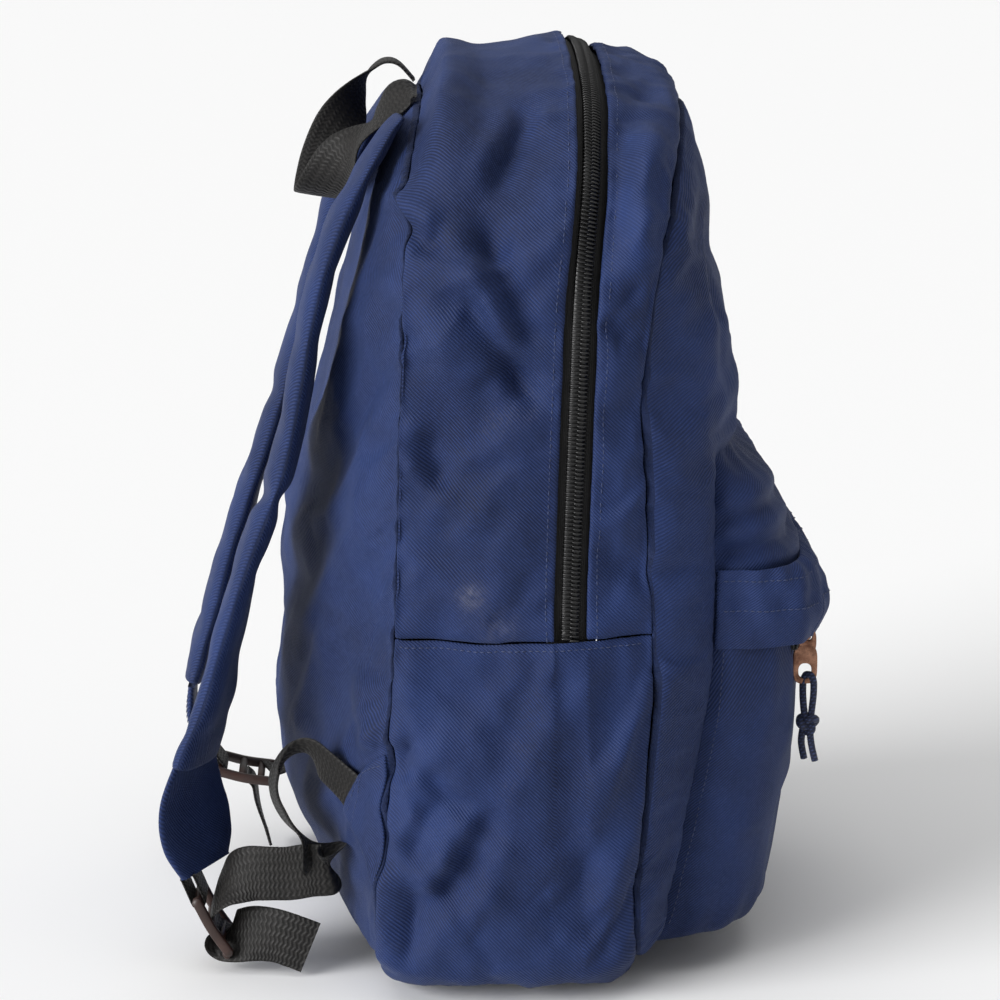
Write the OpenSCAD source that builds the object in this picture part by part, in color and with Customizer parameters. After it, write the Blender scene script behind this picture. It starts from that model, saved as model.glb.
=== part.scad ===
// School backpack: sewn fabric body with a zip-around main compartment, a flapped
// front pocket, two padded shoulder straps with ladder-lock buckles and a webbing
// haul loop. Millimetres. +Z up, -Y is the front pocket side, +Y is the wearer's
// side, and the origin is on the floor under the middle of the base.

/* [Body] */
// Half width of the body at the panel seams
seam_half_w = 140; // [134:1:144]
// How far the side gusset bellies out past its seams
side_crown = 10; // [8:1:12]
// Height of the seams at the top of the arch
seam_top = 388; // [384:1:392]
// Height of the top of the zip gusset
crown_top = 413; // [409:1:417]
// Height where the side panels start to curve over into the arch
arch_start = 300; // [298:1:302]
// Height of the cross seam where the zip ends
zip_end_z = 165; // [160:1:165]
// Thickness of the coated fabric
cloth = 1.6; // [1.2:0.1:1.8]

/* [Front pocket] */
// Half width of the pocket
pocket_half_w = 112; // [108:1:114]
// Height of the pocket zip
pocket_zip_z = 150; // [149.5:0.5:150.5]
// Height of the seam that the rain flap hangs from
flap_z = 187; // [186:1:189]

/* [Straps] */
// Width of the padded shoulder strap
strap_w = 58; // [54:1:60]
// Thickness of the padded shoulder strap
strap_t = 11; // [9:1:12]
// Width of the webbing
web_w = 25; // [22:1:25]
// Thickness of the webbing
web_t = 1.5; // [1.2:0.1:1.6]

/* [Main zip] */
// Width of the closed coil
coil_w = 7.6; // [7:0.2:8]
// Height of the slider when the bag is closed
slider_z = 176; // [175:1:180]
// Length of the main slider's puller plate
pull_l = 28; // [24:1:30]
// Length of the pocket slider's puller plate
pocket_pull_l = 21; // [19:1:22]

/* [Hidden] */

navy = [0.13, 0.19, 0.40];
black = [0.06, 0.06, 0.06];
copper = [0.45, 0.30, 0.22];

// ---------- small helpers ----------
function unit(v) = v / norm(v);
function mix(a, b, t) = a + (b - a) * t;
function spow(v, p) = v <= 0 ? 0 : pow(v, p);
// Catmull-Rom value between p1 and p2
function cr(p0, p1, p2, p3, t) = 0.5 * ((2 * p1) + (p2 - p0) * t
  + (2 * p0 - 5 * p1 + 4 * p2 - p3) * t * t + (3 * p1 - p0 - 3 * p2 + p3) * t * t * t);
function smooth(list, n) = [for (i = [0:len(list) - 2]) for (k = [0:n - 1])
  cr(list[max(i - 1, 0)], list[i], list[i + 1], list[min(i + 2, len(list) - 1)], k / n),
  list[len(list) - 1]];

// ---------- profiles of the body, by height ----------
back_seam_y = [[0, 80], [44, 78], [172, 72.5], [238, 70], [310, 68], [350, 67], [372, 64], [388, 58], [413, 52]];
front_seam_y = [[0, -36], [52, -33], [136, -41], [171, -40], [267, -34], [318, -41], [369, -52], [388, -58], [413, -58]];
zip_y = [[0, -8], [300, -8], [352, -11], [379, -12], [413, -17]];
back_belly = [[8, 0], [20, 14], [35, 20], [51, 28], [73, 43], [110, 47], [200, 45], [246, 38], [300, 28], [347, 15], [374, 7], [388, 0]];
front_belly = [[8, 0], [24, 18], [60, 30], [110, 38], [180, 43], [239, 47], [267, 45], [300, 35], [341, 18], [374, 8], [388, 0]];
function ysb(z) = lookup(z, back_seam_y);
function ysf(z) = lookup(z, front_seam_y);

// half outline of the body, bottom to top: [seam x, seam z, mid x, mid z]
n_top = 2.3;
n_bot = 6;
base_r = 60;
bot_a = [for (a = [87:-7.25:0.1]) a];
top_a = [for (a = [0:7.25:87]) a];
half_loop = concat(
  [for (a = bot_a) let (c = spow(cos(a), 2 / n_bot), s = spow(sin(a), 2 / n_bot))
    [seam_half_w * c, 68 - base_r * s, (seam_half_w + side_crown) * c, max(0, 68 - 69.5 * s)]],
  [for (k = [0:9]) let (z = 68 + (arch_start - 68) * k / 10)
    [seam_half_w, z, seam_half_w + side_crown, z]],
  [for (a = top_a) let (c = spow(cos(a), 2 / n_top), s = spow(sin(a), 2 / n_top))
    [seam_half_w * c, arch_start + (seam_top - arch_start) * s,
     (seam_half_w + side_crown) * c, arch_start + (crown_top - arch_start) * s]]);
nh = len(half_loop);
function seam_p(k) = [half_loop[k][0], half_loop[k][1]];
function mid_p(k) = [half_loop[k][2], half_loop[k][3]];
function out_n(k) = unit(mid_p(k) - seam_p(k) * 1.0 + [0.001, 0]);
// half width of the seam outline at a height
half_w_by_z = [for (k = [0:nh - 1]) [half_loop[k][1], half_loop[k][0]]];
function xs(z) = lookup(z, half_w_by_z);

// ---------- solids from two grids of points ----------
// outer and inner are rows of points of the same size: a thick open patch
module thick_patch(outer, inner) {
  nr = len(outer);
  nc = len(outer[0]);
  m = nr * nc;
  pts = concat([for (r = outer) for (p = r) p], [for (r = inner) for (p = r) p]);
  faces = concat(
    [for (i = [0:nr - 2]) for (j = [0:nc - 2]) each let (a = i * nc + j, b = a + 1, c = a + nc, d = c + 1) [[a, b, c], [b, d, c]]],
    [for (i = [0:nr - 2]) for (j = [0:nc - 2]) each let (a = m + i * nc + j, b = a + 1, c = a + nc, d = c + 1) [[a, c, b], [b, c, d]]],
    [for (i = [0:nr - 2]) each let (a = i * nc, c = a + nc) [[a, c, m + a], [c, m + c, m + a]]],
    [for (i = [0:nr - 2]) each let (a = i * nc + nc - 1, c = a + nc) [[a, m + a, c], [c, m + a, m + c]]],
    [for (j = [0:nc - 2]) each let (a = j, b = j + 1) [[a, m + a, b], [b, m + a, m + b]]],
    [for (j = [0:nc - 2]) each let (a = (nr - 1) * nc + j, b = a + 1) [[a, b, m + a], [b, m + b, m + a]]]);
  polyhedron(points = pts, faces = faces);
}
// rings of points, closed round and capped at both ends
module tube(rings) {
  n = len(rings[0]);
  k = len(rings);
  pts = [for (r = rings) for (p = r) p];
  polyhedron(points = pts, faces = concat(
    [for (i = [0:k - 2]) for (j = [0:n - 1]) each let (a = i * n + j, b = i * n + (j + 1) % n, c = a + n, d = b + n) [[a, c, b], [b, c, d]]],
    [[for (j = [0:n - 1]) j]],
    [[for (j = [n - 1:-1:0]) (k - 1) * n + j]]));
}
// rings of points joined end to end
module ring_tube(rings) {
  n = len(rings[0]);
  k = len(rings);
  pts = [for (r = rings) for (p = r) p];
  polyhedron(points = pts, faces =
    [for (i = [0:k - 1]) for (j = [0:n - 1]) each let (i2 = (i + 1) % k, a = i * n + j, b = i * n + (j + 1) % n, c = i2 * n + j, d = i2 * n + (j + 1) % n) [[a, c, b], [b, c, d]]]);
}
// flat ribbon through control points [centre, width direction, width]
function ribbon_rings(ctrl, t, n, round_edge = 0) =
  let (c = smooth([for (q = ctrl) q[0]], n), d = smooth([for (q = ctrl) q[1]], n), w = smooth([for (q = ctrl) q[2]], n), m = len(c))
  [for (i = [0:m - 1]) let (
      tg = unit(c[min(i + 1, m - 1)] - c[max(i - 1, 0)]),
      wd = unit(d[i] - tg * (d[i] * tg)),
      nn = cross(tg, wd), h = w[i] / 2, e = min(round_edge, t / 2))
    e > 0
      ? [c[i] - wd * h, c[i] - wd * (h - e) - nn * t / 2, c[i] + wd * (h - e) - nn * t / 2, c[i] + wd * h, c[i] + wd * (h - e) + nn * t / 2, c[i] - wd * (h - e) + nn * t / 2]
      : [c[i] - wd * h - nn * t / 2, c[i] + wd * h - nn * t / 2, c[i] + wd * h + nn * t / 2, c[i] - wd * h + nn * t / 2]];
module ribbon(ctrl, t, n = 4, round_edge = 0) tube(ribbon_rings(ctrl, t, n, round_edge));
// round cord along points
module cord(path, r, n = 3, sides = 8) {
  c = smooth(path, n);
  m = len(c);
  tube([for (i = [0:m - 1]) let (tg = unit(c[min(i + 1, m - 1)] - c[max(i - 1, 0)]),
      u = unit(cross(tg, [0.31, 0.12, 0.05] + (abs(tg[0]) > 0.9 ? [0, 1, 0] : [1, 0, 0]))), v = cross(tg, u))
    [for (j = [0:sides - 1]) c[i] + r * (cos(360 * j / sides) * u + sin(360 * j / sides) * v)]]);
}

// ---------- body panels ----------
cols = [-1, -0.93, -0.8, -0.55, -0.28, 0, 0.28, 0.55, 0.8, 0.93, 1];
function y_front(x, z) = ysf(z) - lookup(z, front_belly) * (1 - pow(min(1, abs(x) / xs(z)), 5.5));
function y_back(x, z) = ysb(z) + lookup(z, back_belly) * (1 - pow(min(1, abs(x) / xs(z)), 2));
module panel(front, off0, off1, inset) {
  s = front ? -1 : 1;
  rows = [for (k = [0:nh - 1]) half_loop[k]];
  o = [for (r = rows) [for (u = cols) let (x = u * (r[0] - inset), z = r[1] + (r[1] < 100 ? inset : r[1] > 300 ? -inset : 0) * 0.6)
    [x, (front ? y_front(x, z) : y_back(x, z)) + s * off1, z]]];
  i = [for (r = rows) [for (u = cols) let (x = u * (r[0] - inset), z = r[1] + (r[1] < 100 ? inset : r[1] > 300 ? -inset : 0) * 0.6)
    [x, (front ? y_front(x, z) : y_back(x, z)) + s * off0, z]]];
  if (front) thick_patch(o, i); else thick_patch(i, o);
}
module front_panel() color(navy) panel(true, 0.2, 0.2 + cloth, 0);
module back_panel() color(navy) panel(false, 0.2, 0.2 + cloth, 0);
module back_foam() color([0.85, 0.84, 0.8]) panel(false, -7.8, -2.2, 14);
module back_lining() color([0.1, 0.12, 0.22]) panel(false, -9.4, -8.4, 14);

// share of the crown at depth y: rises from the rear seam, stays flat across the zip, falls to the front seam
rear_rise = [[0, 0], [0.12, 0.36], [0.25, 0.62], [0.45, 0.86], [0.7, 0.99], [0.85, 0.98], [1, 0.92]];
front_fall = [[0, 0.7], [0.25, 0.63], [0.5, 0.5], [0.75, 0.3], [1, 0]];
base_rise = [[0, 0], [0.03, 0.55], [0.08, 1], [0.8, 1], [0.9, 0.75], [0.96, 0.45], [1, 0]];
zip_gap = 8;
function crown(y, yb, ym, yf) = y > ym + zip_gap ? lookup((yb - y) / (yb - ym - zip_gap), rear_rise)
  : y < ym - zip_gap ? lookup((ym - zip_gap - y) / (ym - zip_gap - yf), front_fall)
  : 0.81 + 0.11 * (y - ym) / zip_gap;
function zip_mid(k) = lookup(half_loop[k][1], zip_y);
function g_pt(k, s, y, inw, base) =
  let (sp = seam_p(k), mp = mid_p(k), yb = ysb(sp[1]), yf = ysf(sp[1]),
       c = base ? lookup((yb - y) / (yb - yf), base_rise) : crown(y, yb, zip_mid(k), yf), p = sp + (mp - sp) * c - out_n(k) * inw)
  [s * max(p[0], 0.5), y, p[1]];
// index of the first loop row at or above the zip end
k_zip = [for (k = [0:nh - 1]) if (half_loop[k][1] >= zip_end_z - 22) k][0];
// one run of the loop over the top, right side to left side, rows [k, s]
over = concat([for (k = [k_zip:nh - 1]) [k, 1]], [for (k = [nh - 1:-1:k_zip]) [k, -1]]);
under = concat([for (k = [k_zip:-1:0]) [k, -1]], [for (k = [0:k_zip]) [k, 1]]);
// cuts the ends of a run to the height of the cross seam
function end_z(p, row, i, n, lim) = i == 0 || i == n - 1 ? [p[0], p[1], lim] : p;
module gusset_run(run, y0, y1, lim, n = 6, base = false) {
  nr = len(run);
  o = [for (i = [0:nr - 1]) let (k = run[i][0], s = run[i][1]) [for (j = [0:n]) end_z(g_pt(k, s, mix(y0[i], y1[i], j / n), 0, base), run[i], i, nr, lim)]];
  q = [for (i = [0:nr - 1]) let (k = run[i][0], s = run[i][1]) [for (j = [0:n]) end_z(g_pt(k, s, mix(y0[i], y1[i], j / n), cloth, base), run[i], i, nr, lim)]];
  thick_patch(q, o);
}
module gusset_rear() color(navy) gusset_run(over, [for (r = over) ysb(seam_p(r[0])[1])], [for (r = over) zip_mid(r[0]) + zip_gap], zip_end_z + 0.4, 6);
module gusset_front() color(navy) gusset_run(over, [for (r = over) zip_mid(r[0]) - zip_gap], [for (r = over) ysf(seam_p(r[0])[1])], zip_end_z + 0.4, 4);
module base_gusset() color(navy) gusset_run(under, [for (r = under) ysb(seam_p(r[0])[1])], [for (r = under) ysf(seam_p(r[0])[1])], zip_end_z, 12, true);

// folded binding tape over the seam allowance, all round inside a panel
module binding(front) {
  loop = concat([for (k = [0:nh - 1]) [k, 1]], [for (k = [nh - 1:-1:0]) [k, -1]]);
  s = front ? 1 : -1;
  color([0.08, 0.09, 0.14]) ring_tube([for (q = loop) let (k = q[0], z = seam_p(k)[1], y = (front ? ysf(z) : ysb(z)) + s * 1.2, n3 = out_n(k),
      c = seam_p(k) - n3 * 5.5, y2 = y + s * 9)
    let (ring = [[q[1] * max(c[0] + n3[0] * 1.2, 0.5), y, c[1] + n3[1] * 1.2], [q[1] * max(c[0] + n3[0] * 1.2, 0.5), y2, c[1] + n3[1] * 1.2],
     [q[1] * max(c[0] - n3[0] * 1.2, 0.2), y2, c[1] - n3[1] * 1.2], [q[1] * max(c[0] - n3[0] * 1.2, 0.2), y, c[1] - n3[1] * 1.2]]) front ? ring : [ring[3], ring[2], ring[1], ring[0]]]);
}
module seam_binding_front() binding(true);
module seam_binding_back() binding(false);

// ---------- main zip ----------
function z_pt(k, s, dy, inw) = let (sp = seam_p(k), mp = mid_p(k), p = sp + (mp - sp) * (0.81 + 0.11 * dy / zip_gap) - out_n(k) * inw) [s * max(p[0], 0.5), zip_mid(k) + dy, p[1]];
module zip_strip(hw, in0, in1, lim) {
  nr = len(over);
  o = [for (i = [0:nr - 1]) let (k = over[i][0], s = over[i][1]) [for (dy = [hw, -hw]) end_z(z_pt(k, s, dy, in0), over[i], i, nr, lim)]];
  q = [for (i = [0:nr - 1]) let (k = over[i][0], s = over[i][1]) [for (dy = [hw, -hw]) end_z(z_pt(k, s, dy, in1), over[i], i, nr, lim)]];
  thick_patch(q, o);
}
module main_zip_tape() color(black) zip_strip(13, 3.2, 4.0, zip_end_z + 0.4);
module main_zip_coil() color(black) zip_strip(coil_w / 2, 0.2, 2.9, zip_end_z + 0.8);

// ---------- zip slider, in its own frame: it runs along z, faces +x, and the coil's face is at x = 0 ----------
pin_x = 3.75;
bar_x = 5.9;
module slider_body(h = 15, w = 11.5) color(copper) {
  difference() {
    union() {
      translate([0.7, -w / 2, -h / 2]) cube([1.8, w, h]);
      for (s = [-1, 1]) translate([-2.0, s * (w / 2 - 0.55) - 0.55, -h / 2]) cube([2.8, 1.1, h]);
      for (s = [-1, 1]) translate([2.4, -1.5, s * 3.7 - 1.1]) cube([4.5, 3, 2.2]);
    }
    for (s = [-1, 1]) translate([0, s * (w / 2), h / 2]) rotate([0, 90, 0]) cylinder(r = 1.4, h = 12, center = true, $fn = 32);
  }
  translate([bar_x, 0, -3]) cylinder(r = 0.95, h = 6, $fn = 24);
}
// plate that hangs along -z from a pin along y at the origin
module pin_plate(l, w = 10) color(copper) {
  rotate([-90, 0, 0]) translate([0, 0, -w / 2]) cylinder(r = 0.9, h = w, $fn = 24);
  for (s = [-1, 1]) translate([-0.8, s * (w / 2 - 1.1) - 1.1, -7]) cube([1.6, 2.2, 7]);
  difference() {
    union() {
      translate([-0.8, -w / 2, -l + w / 2]) cube([1.6, w, l - w / 2 - 6.5]);
      translate([0, 0, -l + w / 2]) rotate([0, 90, 0]) cylinder(r = w / 2, h = 1.6, center = true, $fn = 48);
    }
    translate([0, 0, -l + w / 2]) rotate([0, 90, 0]) cylinder(r = 2.9, h = 6, center = true, $fn = 48);
  }
}
// plate that hangs along -z from a ring around a bar along y at the origin
module ring_plate(l, w = 6.4) color(copper) difference() {
  union() {
    rotate([90, 0, 0]) cylinder(r = w / 2, h = 1.6, center = true, $fn = 48);
    translate([-w / 2, -0.8, -l + w / 2]) cube([w, 1.6, l - w / 2]);
    translate([0, 0, -l + w / 2]) rotate([90, 0, 0]) cylinder(r = w / 2, h = 1.6, center = true, $fn = 48);
  }
  rotate([90, 0, 0]) cylinder(r = 1.4, h = 6, center = true, $fn = 48);
  translate([0, 0, -l + w / 2]) rotate([90, 0, 0]) cylinder(r = 2.2, h = 6, center = true, $fn = 48);
}
// cord doubled through the plate's lower hole, tied in one knot, with two tails; the plate's face looks along x
module pull_cord(l, hz) color(navy) union() {
  cord([[-1.5, -0.6, hz - 21], [-2.2, -1, hz - 10], [-2.5, -0.5, hz - 3], [-1.6, 0, hz - 0.2], [0, 0, hz + 0.4], [1.6, 0, hz - 0.2], [2.5, 0.5, hz - 3], [2.2, 1, hz - 10], [1.5, 0.6, hz - 21]], 1.3, 3, 8);
  translate([0, 0, hz - 22.5]) sphere(r = 4, $fn = 32);
  cord([[-1.2, -0.8, hz - 24], [-2, -2.6, hz - 32], [-1.6, -4, hz - 41]], 1.3, 3, 8);
  cord([[1.2, 0.8, hz - 24], [1.6, 1.4, hz - 32], [1.8, 1.4, hz - 39]], 1.3, 3, 8);
}

// ---------- main slider, on the wearer's right side of the zip ----------
zip_tilt = atan(0.11 * side_crown / zip_gap);
module on_main_zip(z) translate([seam_half_w + side_crown * 0.81, -8, z]) rotate([0, 0, -zip_tilt]) children();
module main_slider() on_main_zip(slider_z) slider_body();
// the pull leans out over the fuller cloth below the zip
pull_lean = 10;
module main_puller() on_main_zip(slider_z) translate([pin_x, 0, 0]) rotate([0, -pull_lean, 0]) pin_plate(pull_l);
module main_cord() on_main_zip(slider_z) translate([pin_x, 0, 0]) rotate([0, -pull_lean, 0]) pull_cord(pull_l, -pull_l + 2.4);

// ---------- front pocket ----------
// centre line of the pocket's front by height
lower_front = [[20, -91], [30, -98.5], [45, -102.5], [70, -105.5], [100, -107], [pocket_zip_z - 8, -107.5]];
upper_front = [[pocket_zip_z + 8, -107.5], [170, -109], [180, -111], [188, -111], [200, -105.5], [214, -99], [227, -92.5]];
zip_face = -108;
corner_rx = 15;
function pocket_side_y(z) = y_front(pocket_half_w, z) - 3.8;
function plan(yf, ys, hw, rx) = concat(
  [for (a = [0, 22.5, 45, 67.5, 90]) [-(hw - rx) - rx * cos(a), ys + (yf - ys) * sin(a)]],
  [[-50, yf], [0, yf], [50, yf]],
  [for (a = [90, 67.5, 45, 22.5, 0]) [(hw - rx) + rx * cos(a), ys + (yf - ys) * sin(a)]]);
function shell_row(z, yf, off) = [for (p = plan(yf + off, pocket_side_y(z) + 0 * off, pocket_half_w - off, corner_rx - off)) [p[0], p[1], z]];
// row that closes the pocket against the panel
function edge_row(z, off) = [for (p = plan(0, 1, pocket_half_w - off, corner_rx - off)) [p[0], y_front(p[0], z) - 6.2 + off * 0.98, z]];
module pocket_lower() color(navy) thick_patch(
  concat([edge_row(14, 0)], [for (q = lower_front) shell_row(q[0], q[1], 0)]),
  concat([edge_row(15.6, cloth)], [for (q = lower_front) shell_row(q[0], q[1], cloth)]));
module pocket_upper() color(navy) thick_patch(
  concat([for (q = upper_front) shell_row(q[0], q[1], 0)], [edge_row(240, 0)]),
  concat([for (q = upper_front) shell_row(q[0], q[1], cloth)], [edge_row(238.4, cloth)]));
module pocket_zip_tape() color(black) translate([-96, zip_face + 2.4, pocket_zip_z - 13]) cube([192, 0.8, 26]);
module pocket_zip_coil() color(black) translate([-96, zip_face + 0.1, pocket_zip_z - coil_w / 2]) cube([192, 2.2, coil_w]);
pocket_slide_x = -84;
module pocket_slider() translate([pocket_slide_x, zip_face, pocket_zip_z]) rotate([-90, 0, 0]) rotate([0, 90, 0]) slider_body();
module pocket_puller() translate([pocket_slide_x, zip_face - bar_x, pocket_zip_z]) rotate([0, 0, 90]) ring_plate(pocket_pull_l);
module pocket_cord() translate([pocket_slide_x, zip_face - bar_x - 0.6, pocket_zip_z]) pull_cord(pocket_pull_l, -pocket_pull_l + 1.7);
// rain flap over the zip: height and depth of its outer face
flap_line = [[flap_z, -113.6], [180, -119], [171, -123.6], [161, -125.2], [151, -122.8], [143, -120.2]];
flap_half = 96;
module pocket_flap() color(navy) thick_patch(
  [for (q = flap_line) [for (x = [-flap_half, -48, 0, 48, flap_half]) [x, q[1] + cloth, q[0]]]],
  [for (q = flap_line) [for (x = [-flap_half, -48, 0, 48, flap_half]) [x, q[1], q[0]]]]);
// the flap's sewn ends, which wrap the pocket's corners to the side seam
function wing_row(q, s, off) = let (ys = pocket_side_y(q[0]) + 1, hx = pocket_half_w + 3.2, x0 = flap_half + 0.6, rx = hx - x0)
  [for (a = [90, 67.5, 45, 22.5, 0]) [s * (x0 + (rx - off) * cos(a)), ys + (q[1] + off - ys) * sin(a), q[0]]];
module flap_end(s) color(navy) if (s > 0) thick_patch([for (q = flap_line) wing_row(q, s, cloth)], [for (q = flap_line) wing_row(q, s, 0)]);
  else thick_patch([for (q = flap_line) wing_row(q, s, 0)], [for (q = flap_line) wing_row(q, s, cloth)]);
module flap_end_left() flap_end(-1);
module flap_end_right() flap_end(1);

// ---------- haul loop: a length of webbing sewn in at both ends that droops behind the bag ----------
haul_half = [[[35, 61.5, 391], [1, 0, 0]], [[35.5, 72, 394.5], [1, 0.15, 0]], [[35, 84, 391], [0.85, 0.5, 0]], [[31, 96, 378], [0.5, 0.85, -0.2]],
  [[24, 103, 359], [0.2, 1, -0.2]], [[12, 105, 344], [0.05, 1, -0.2]]];
haul_ctrl = concat([for (q = haul_half) [[-q[0][0], q[0][1], q[0][2]], [q[1][0], -q[1][1], -q[1][2]], web_w]],
  [[[0, 105.5, 340], [0, -1, 0.2], web_w]],
  [for (i = [len(haul_half) - 1:-1:0]) let (q = haul_half[i]) [q[0], [-q[1][0], -q[1][1], -q[1][2]], web_w]]);
module haul_loop() color(black) ribbon(haul_ctrl, web_t, 3);

// ---------- shoulder straps: [centre, width direction, share of width, thickness] ----------
strap_left_line = [[[-73, 72, 374], [1, 0, 0], 0.82, 4], [[-76, 83, 357], [1, 0, 0], 0.97, 8], [[-79, 94, 333], [1, 0, 0], 1, strap_t], [[-80, 104, 302], [1, 0, 0], 1, strap_t],
  [[-80, 118, 235], [1, 0, 0], 1, strap_t], [[-80, 130, 200], [1, 0, 0], 1, strap_t], [[-80, 142, 162], [1, 0.05, 0], 1, strap_t], [[-80, 153, 122], [1, 0.1, 0], 1, strap_t],
  [[-81, 162, 90], [1, 0.15, 0], 0.98, strap_t - 2], [[-83, 165, 66], [1, 0.2, 0], 0.8, 5], [[-85, 163, 45], [1, 0.2, 0], 0.52, 3.2]];
strap_right_line = [[[73, 72, 374], [1, 0, 0], 0.82, 4], [[76, 83, 357], [1, 0, 0], 0.97, 8], [[79, 94, 333], [1, 0, 0], 1, strap_t], [[80, 104, 302], [1, 0, 0], 1, strap_t],
  [[80, 120, 245], [1, 0, 0], 1, strap_t], [[79, 133, 205], [1, 0, 0], 1, strap_t], [[78, 147, 165], [1, 0, 0], 1, strap_t], [[77, 160, 122], [1, 0, 0], 1, strap_t],
  [[76, 168, 92], [1, 0, 0], 0.98, strap_t - 2], [[76, 168.5, 70], [1, 0, 0], 0.8, 5], [[76, 162, 54], [1, 0, 0], 0.52, 3.2]];
// layer of a strap between two depths, counted from the outer face (0) to the lining (1), less a skin
module strap_layer(line, n, lo, hi, narrow) {
  c = smooth([for (q = line) q[0]], n);
  d = smooth([for (q = line) q[1]], n);
  w = smooth([for (q = line) q[2]], n);
  t = smooth([for (q = line) q[3]], n);
  m = len(c);
  tube([for (i = [0:m - 1]) let (tg = unit(c[min(i + 1, m - 1)] - c[max(i - 1, 0)]), wd = unit(d[i] - tg * (d[i] * tg)), nn = cross(tg, wd),
      h = w[i] * strap_w / 2 - narrow, a = -t[i] / 2 + (lo < 0 ? t[i] + lo : lo), b = hi < 0 ? t[i] / 2 + hi : hi == 0 ? t[i] / 2 : -t[i] / 2 + hi)
    [c[i] - wd * h + nn * a, c[i] + wd * h + nn * a, c[i] + wd * h + nn * b, c[i] - wd * h + nn * b]]);
}
module strap_face(line) color(navy) strap_layer(line, 3, 0, 1.1, 0);
module strap_foam(line) color([0.85, 0.84, 0.8]) strap_layer(line, 3, 1.4, -1.4, 2);
module strap_lining(line) color([0.1, 0.13, 0.28]) strap_layer(line, 3, -1.1, 0, 0);
module strap_face_left() strap_face(strap_left_line);
module strap_foam_left() strap_foam(strap_left_line);
module strap_lining_left() strap_lining(strap_left_line);
module strap_face_right() strap_face(strap_right_line);
module strap_foam_right() strap_foam(strap_right_line);
module strap_lining_right() strap_lining(strap_right_line);

// ---------- ladder lock: bars along x, strap bar at the origin, body hanging along -z ----------
lock_l = 30;
lock_w = 34;
bar_r = 1.8;
module ladder_lock() color([0.12, 0.08, 0.07]) {
  hw = lock_w / 2;
  for (s = [-1, 1]) translate([s * (hw - 1.9) - 1.9, -2, -lock_l + 3]) cube([3.8, 4, lock_l]);
  translate([-hw + 3, 0, 0]) rotate([0, 90, 0]) cylinder(r = bar_r, h = lock_w - 6, $fn = 32);
  translate([-hw + 3, -1.5, -13]) cube([lock_w - 6, 3, 3.4]);
  translate([-hw + 3, -1.5, -22]) cube([lock_w - 6, 3, 3]);
  translate([-hw + 3, 0.4, -lock_l + 1.5]) cube([lock_w - 6, 2.4, 4]);
}
// where each lock hangs and how far it leans
lock_left_at = [-85, 159.5, 33];
lock_left_lean = -30;
lock_right_at = [76, 156, 46];
lock_right_lean = -78;
module place_lock(at, lean) translate(at) rotate([lean, 0, 0]) children();
module ladder_lock_left() place_lock(lock_left_at, lock_left_lean) ladder_lock();
module ladder_lock_right() place_lock(lock_right_at, lock_right_lean) ladder_lock();
// webbing loop from the strap's end round the strap bar, in the lock's frame turned to face the strap
module bar_loop(at, a0, reach) {
  r = bar_r + 0.5 + web_t / 2;
  color(black) ribbon(concat([[at + [0, r * cos(a0) - reach * sin(a0), r * sin(a0) + reach * cos(a0)], [1, 0, 0], web_w - 1]],
    [for (k = [0:8]) let (a = a0 - 22.5 * k) [at + [0, r * cos(a), r * sin(a)], [1, 0, 0], web_w - 1]],
    [[at + [0, r * cos(a0 - 180) - reach * sin(a0), r * sin(a0 - 180) + reach * cos(a0)], [1, 0, 0], web_w - 1]]), web_t, 1);
}
module strap_loop_left() bar_loop(lock_left_at, -22, 8.5);
module strap_loop_right() bar_loop(lock_right_at, -36, 6.5);

// ---------- lower webbing and its anchor tabs ----------
function on_back(x, z, d) = [x, y_back(x, z) + 1.8 + d, z];
module anchor_tab(s) color(navy) ribbon([for (q = [[134, 46], [126, 40], [118, 33], [109, 26]]) [on_back(s * q[0], 84, 2.6), [0, 0.04, 1], q[1]]], 2, 2);
module anchor_tab_left() anchor_tab(-1);
module anchor_tab_right() anchor_tab(1);
module lower_web_left() color(black) ribbon([[[-107.5, 105, 88], [0.73, 0.5, -0.5], web_w], [[-103, 110, 98], [0.85, 0.3, -0.45], web_w], [[-98, 116, 102.5], [0.95, 0.1, -0.25], web_w],
  [[-95, 124, 94], [1, 0, 0], web_w], [[-94, 125, 80], [0.95, 0.3, 0], web_w], [[-96, 120, 68], [0.9, 0.45, 0.1], web_w]], web_t, 3);
module web_band_left() color(black) ribbon([[[-104, 104, 44], [0.1, 0.1, 1], web_w], [[-101, 116, 42], [0, 0, 1], web_w], [[-97, 128, 41], [0.1, -0.1, 1], web_w], [[-93, 137, 38], [0.45, -0.1, 0.9], web_w]], web_t, 3);
module web_tail_left() color(black) ribbon([[[-85, 142.6, 9.6], [1, 0, 0], web_w], [[-86, 138, 9.6], [1, 0, 0.1], web_w], [[-89, 132, 10.5], [0.9, 0, 0.3], web_w], [[-93, 121, 12], [0.75, 0.1, 0.6], web_w], [[-96, 111, 11], [0.7, 0.1, 0.7], web_w]], web_t, 3);
module lower_web_right() color(black) ribbon([[[106, 106, 86], [0.73, -0.5, 0.5], web_w], [[100, 113, 78], [0.8, -0.4, 0.35], web_w], [[93, 117.5, 64], [0.9, -0.2, 0.1], web_w]], web_t, 3);
module web_band_right() color(black) ribbon([[[91, 116.5, 54], [1, -0.2, 0], web_w], [[87, 118, 47.5], [1, -0.1, 0], web_w], [[84, 120, 41], [1, 0, 0], web_w]], web_t, 3);
module web_tail_right() color(black) ribbon([[[76, 139.5, 38.5], [1, 0, 0], web_w], [[76, 138.5, 30], [1, 0, 0], web_w], [[77, 136, 18], [1, 0.1, 0], web_w], [[78, 133, 7], [1, 0.1, 0], web_w]], web_t, 3);

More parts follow.
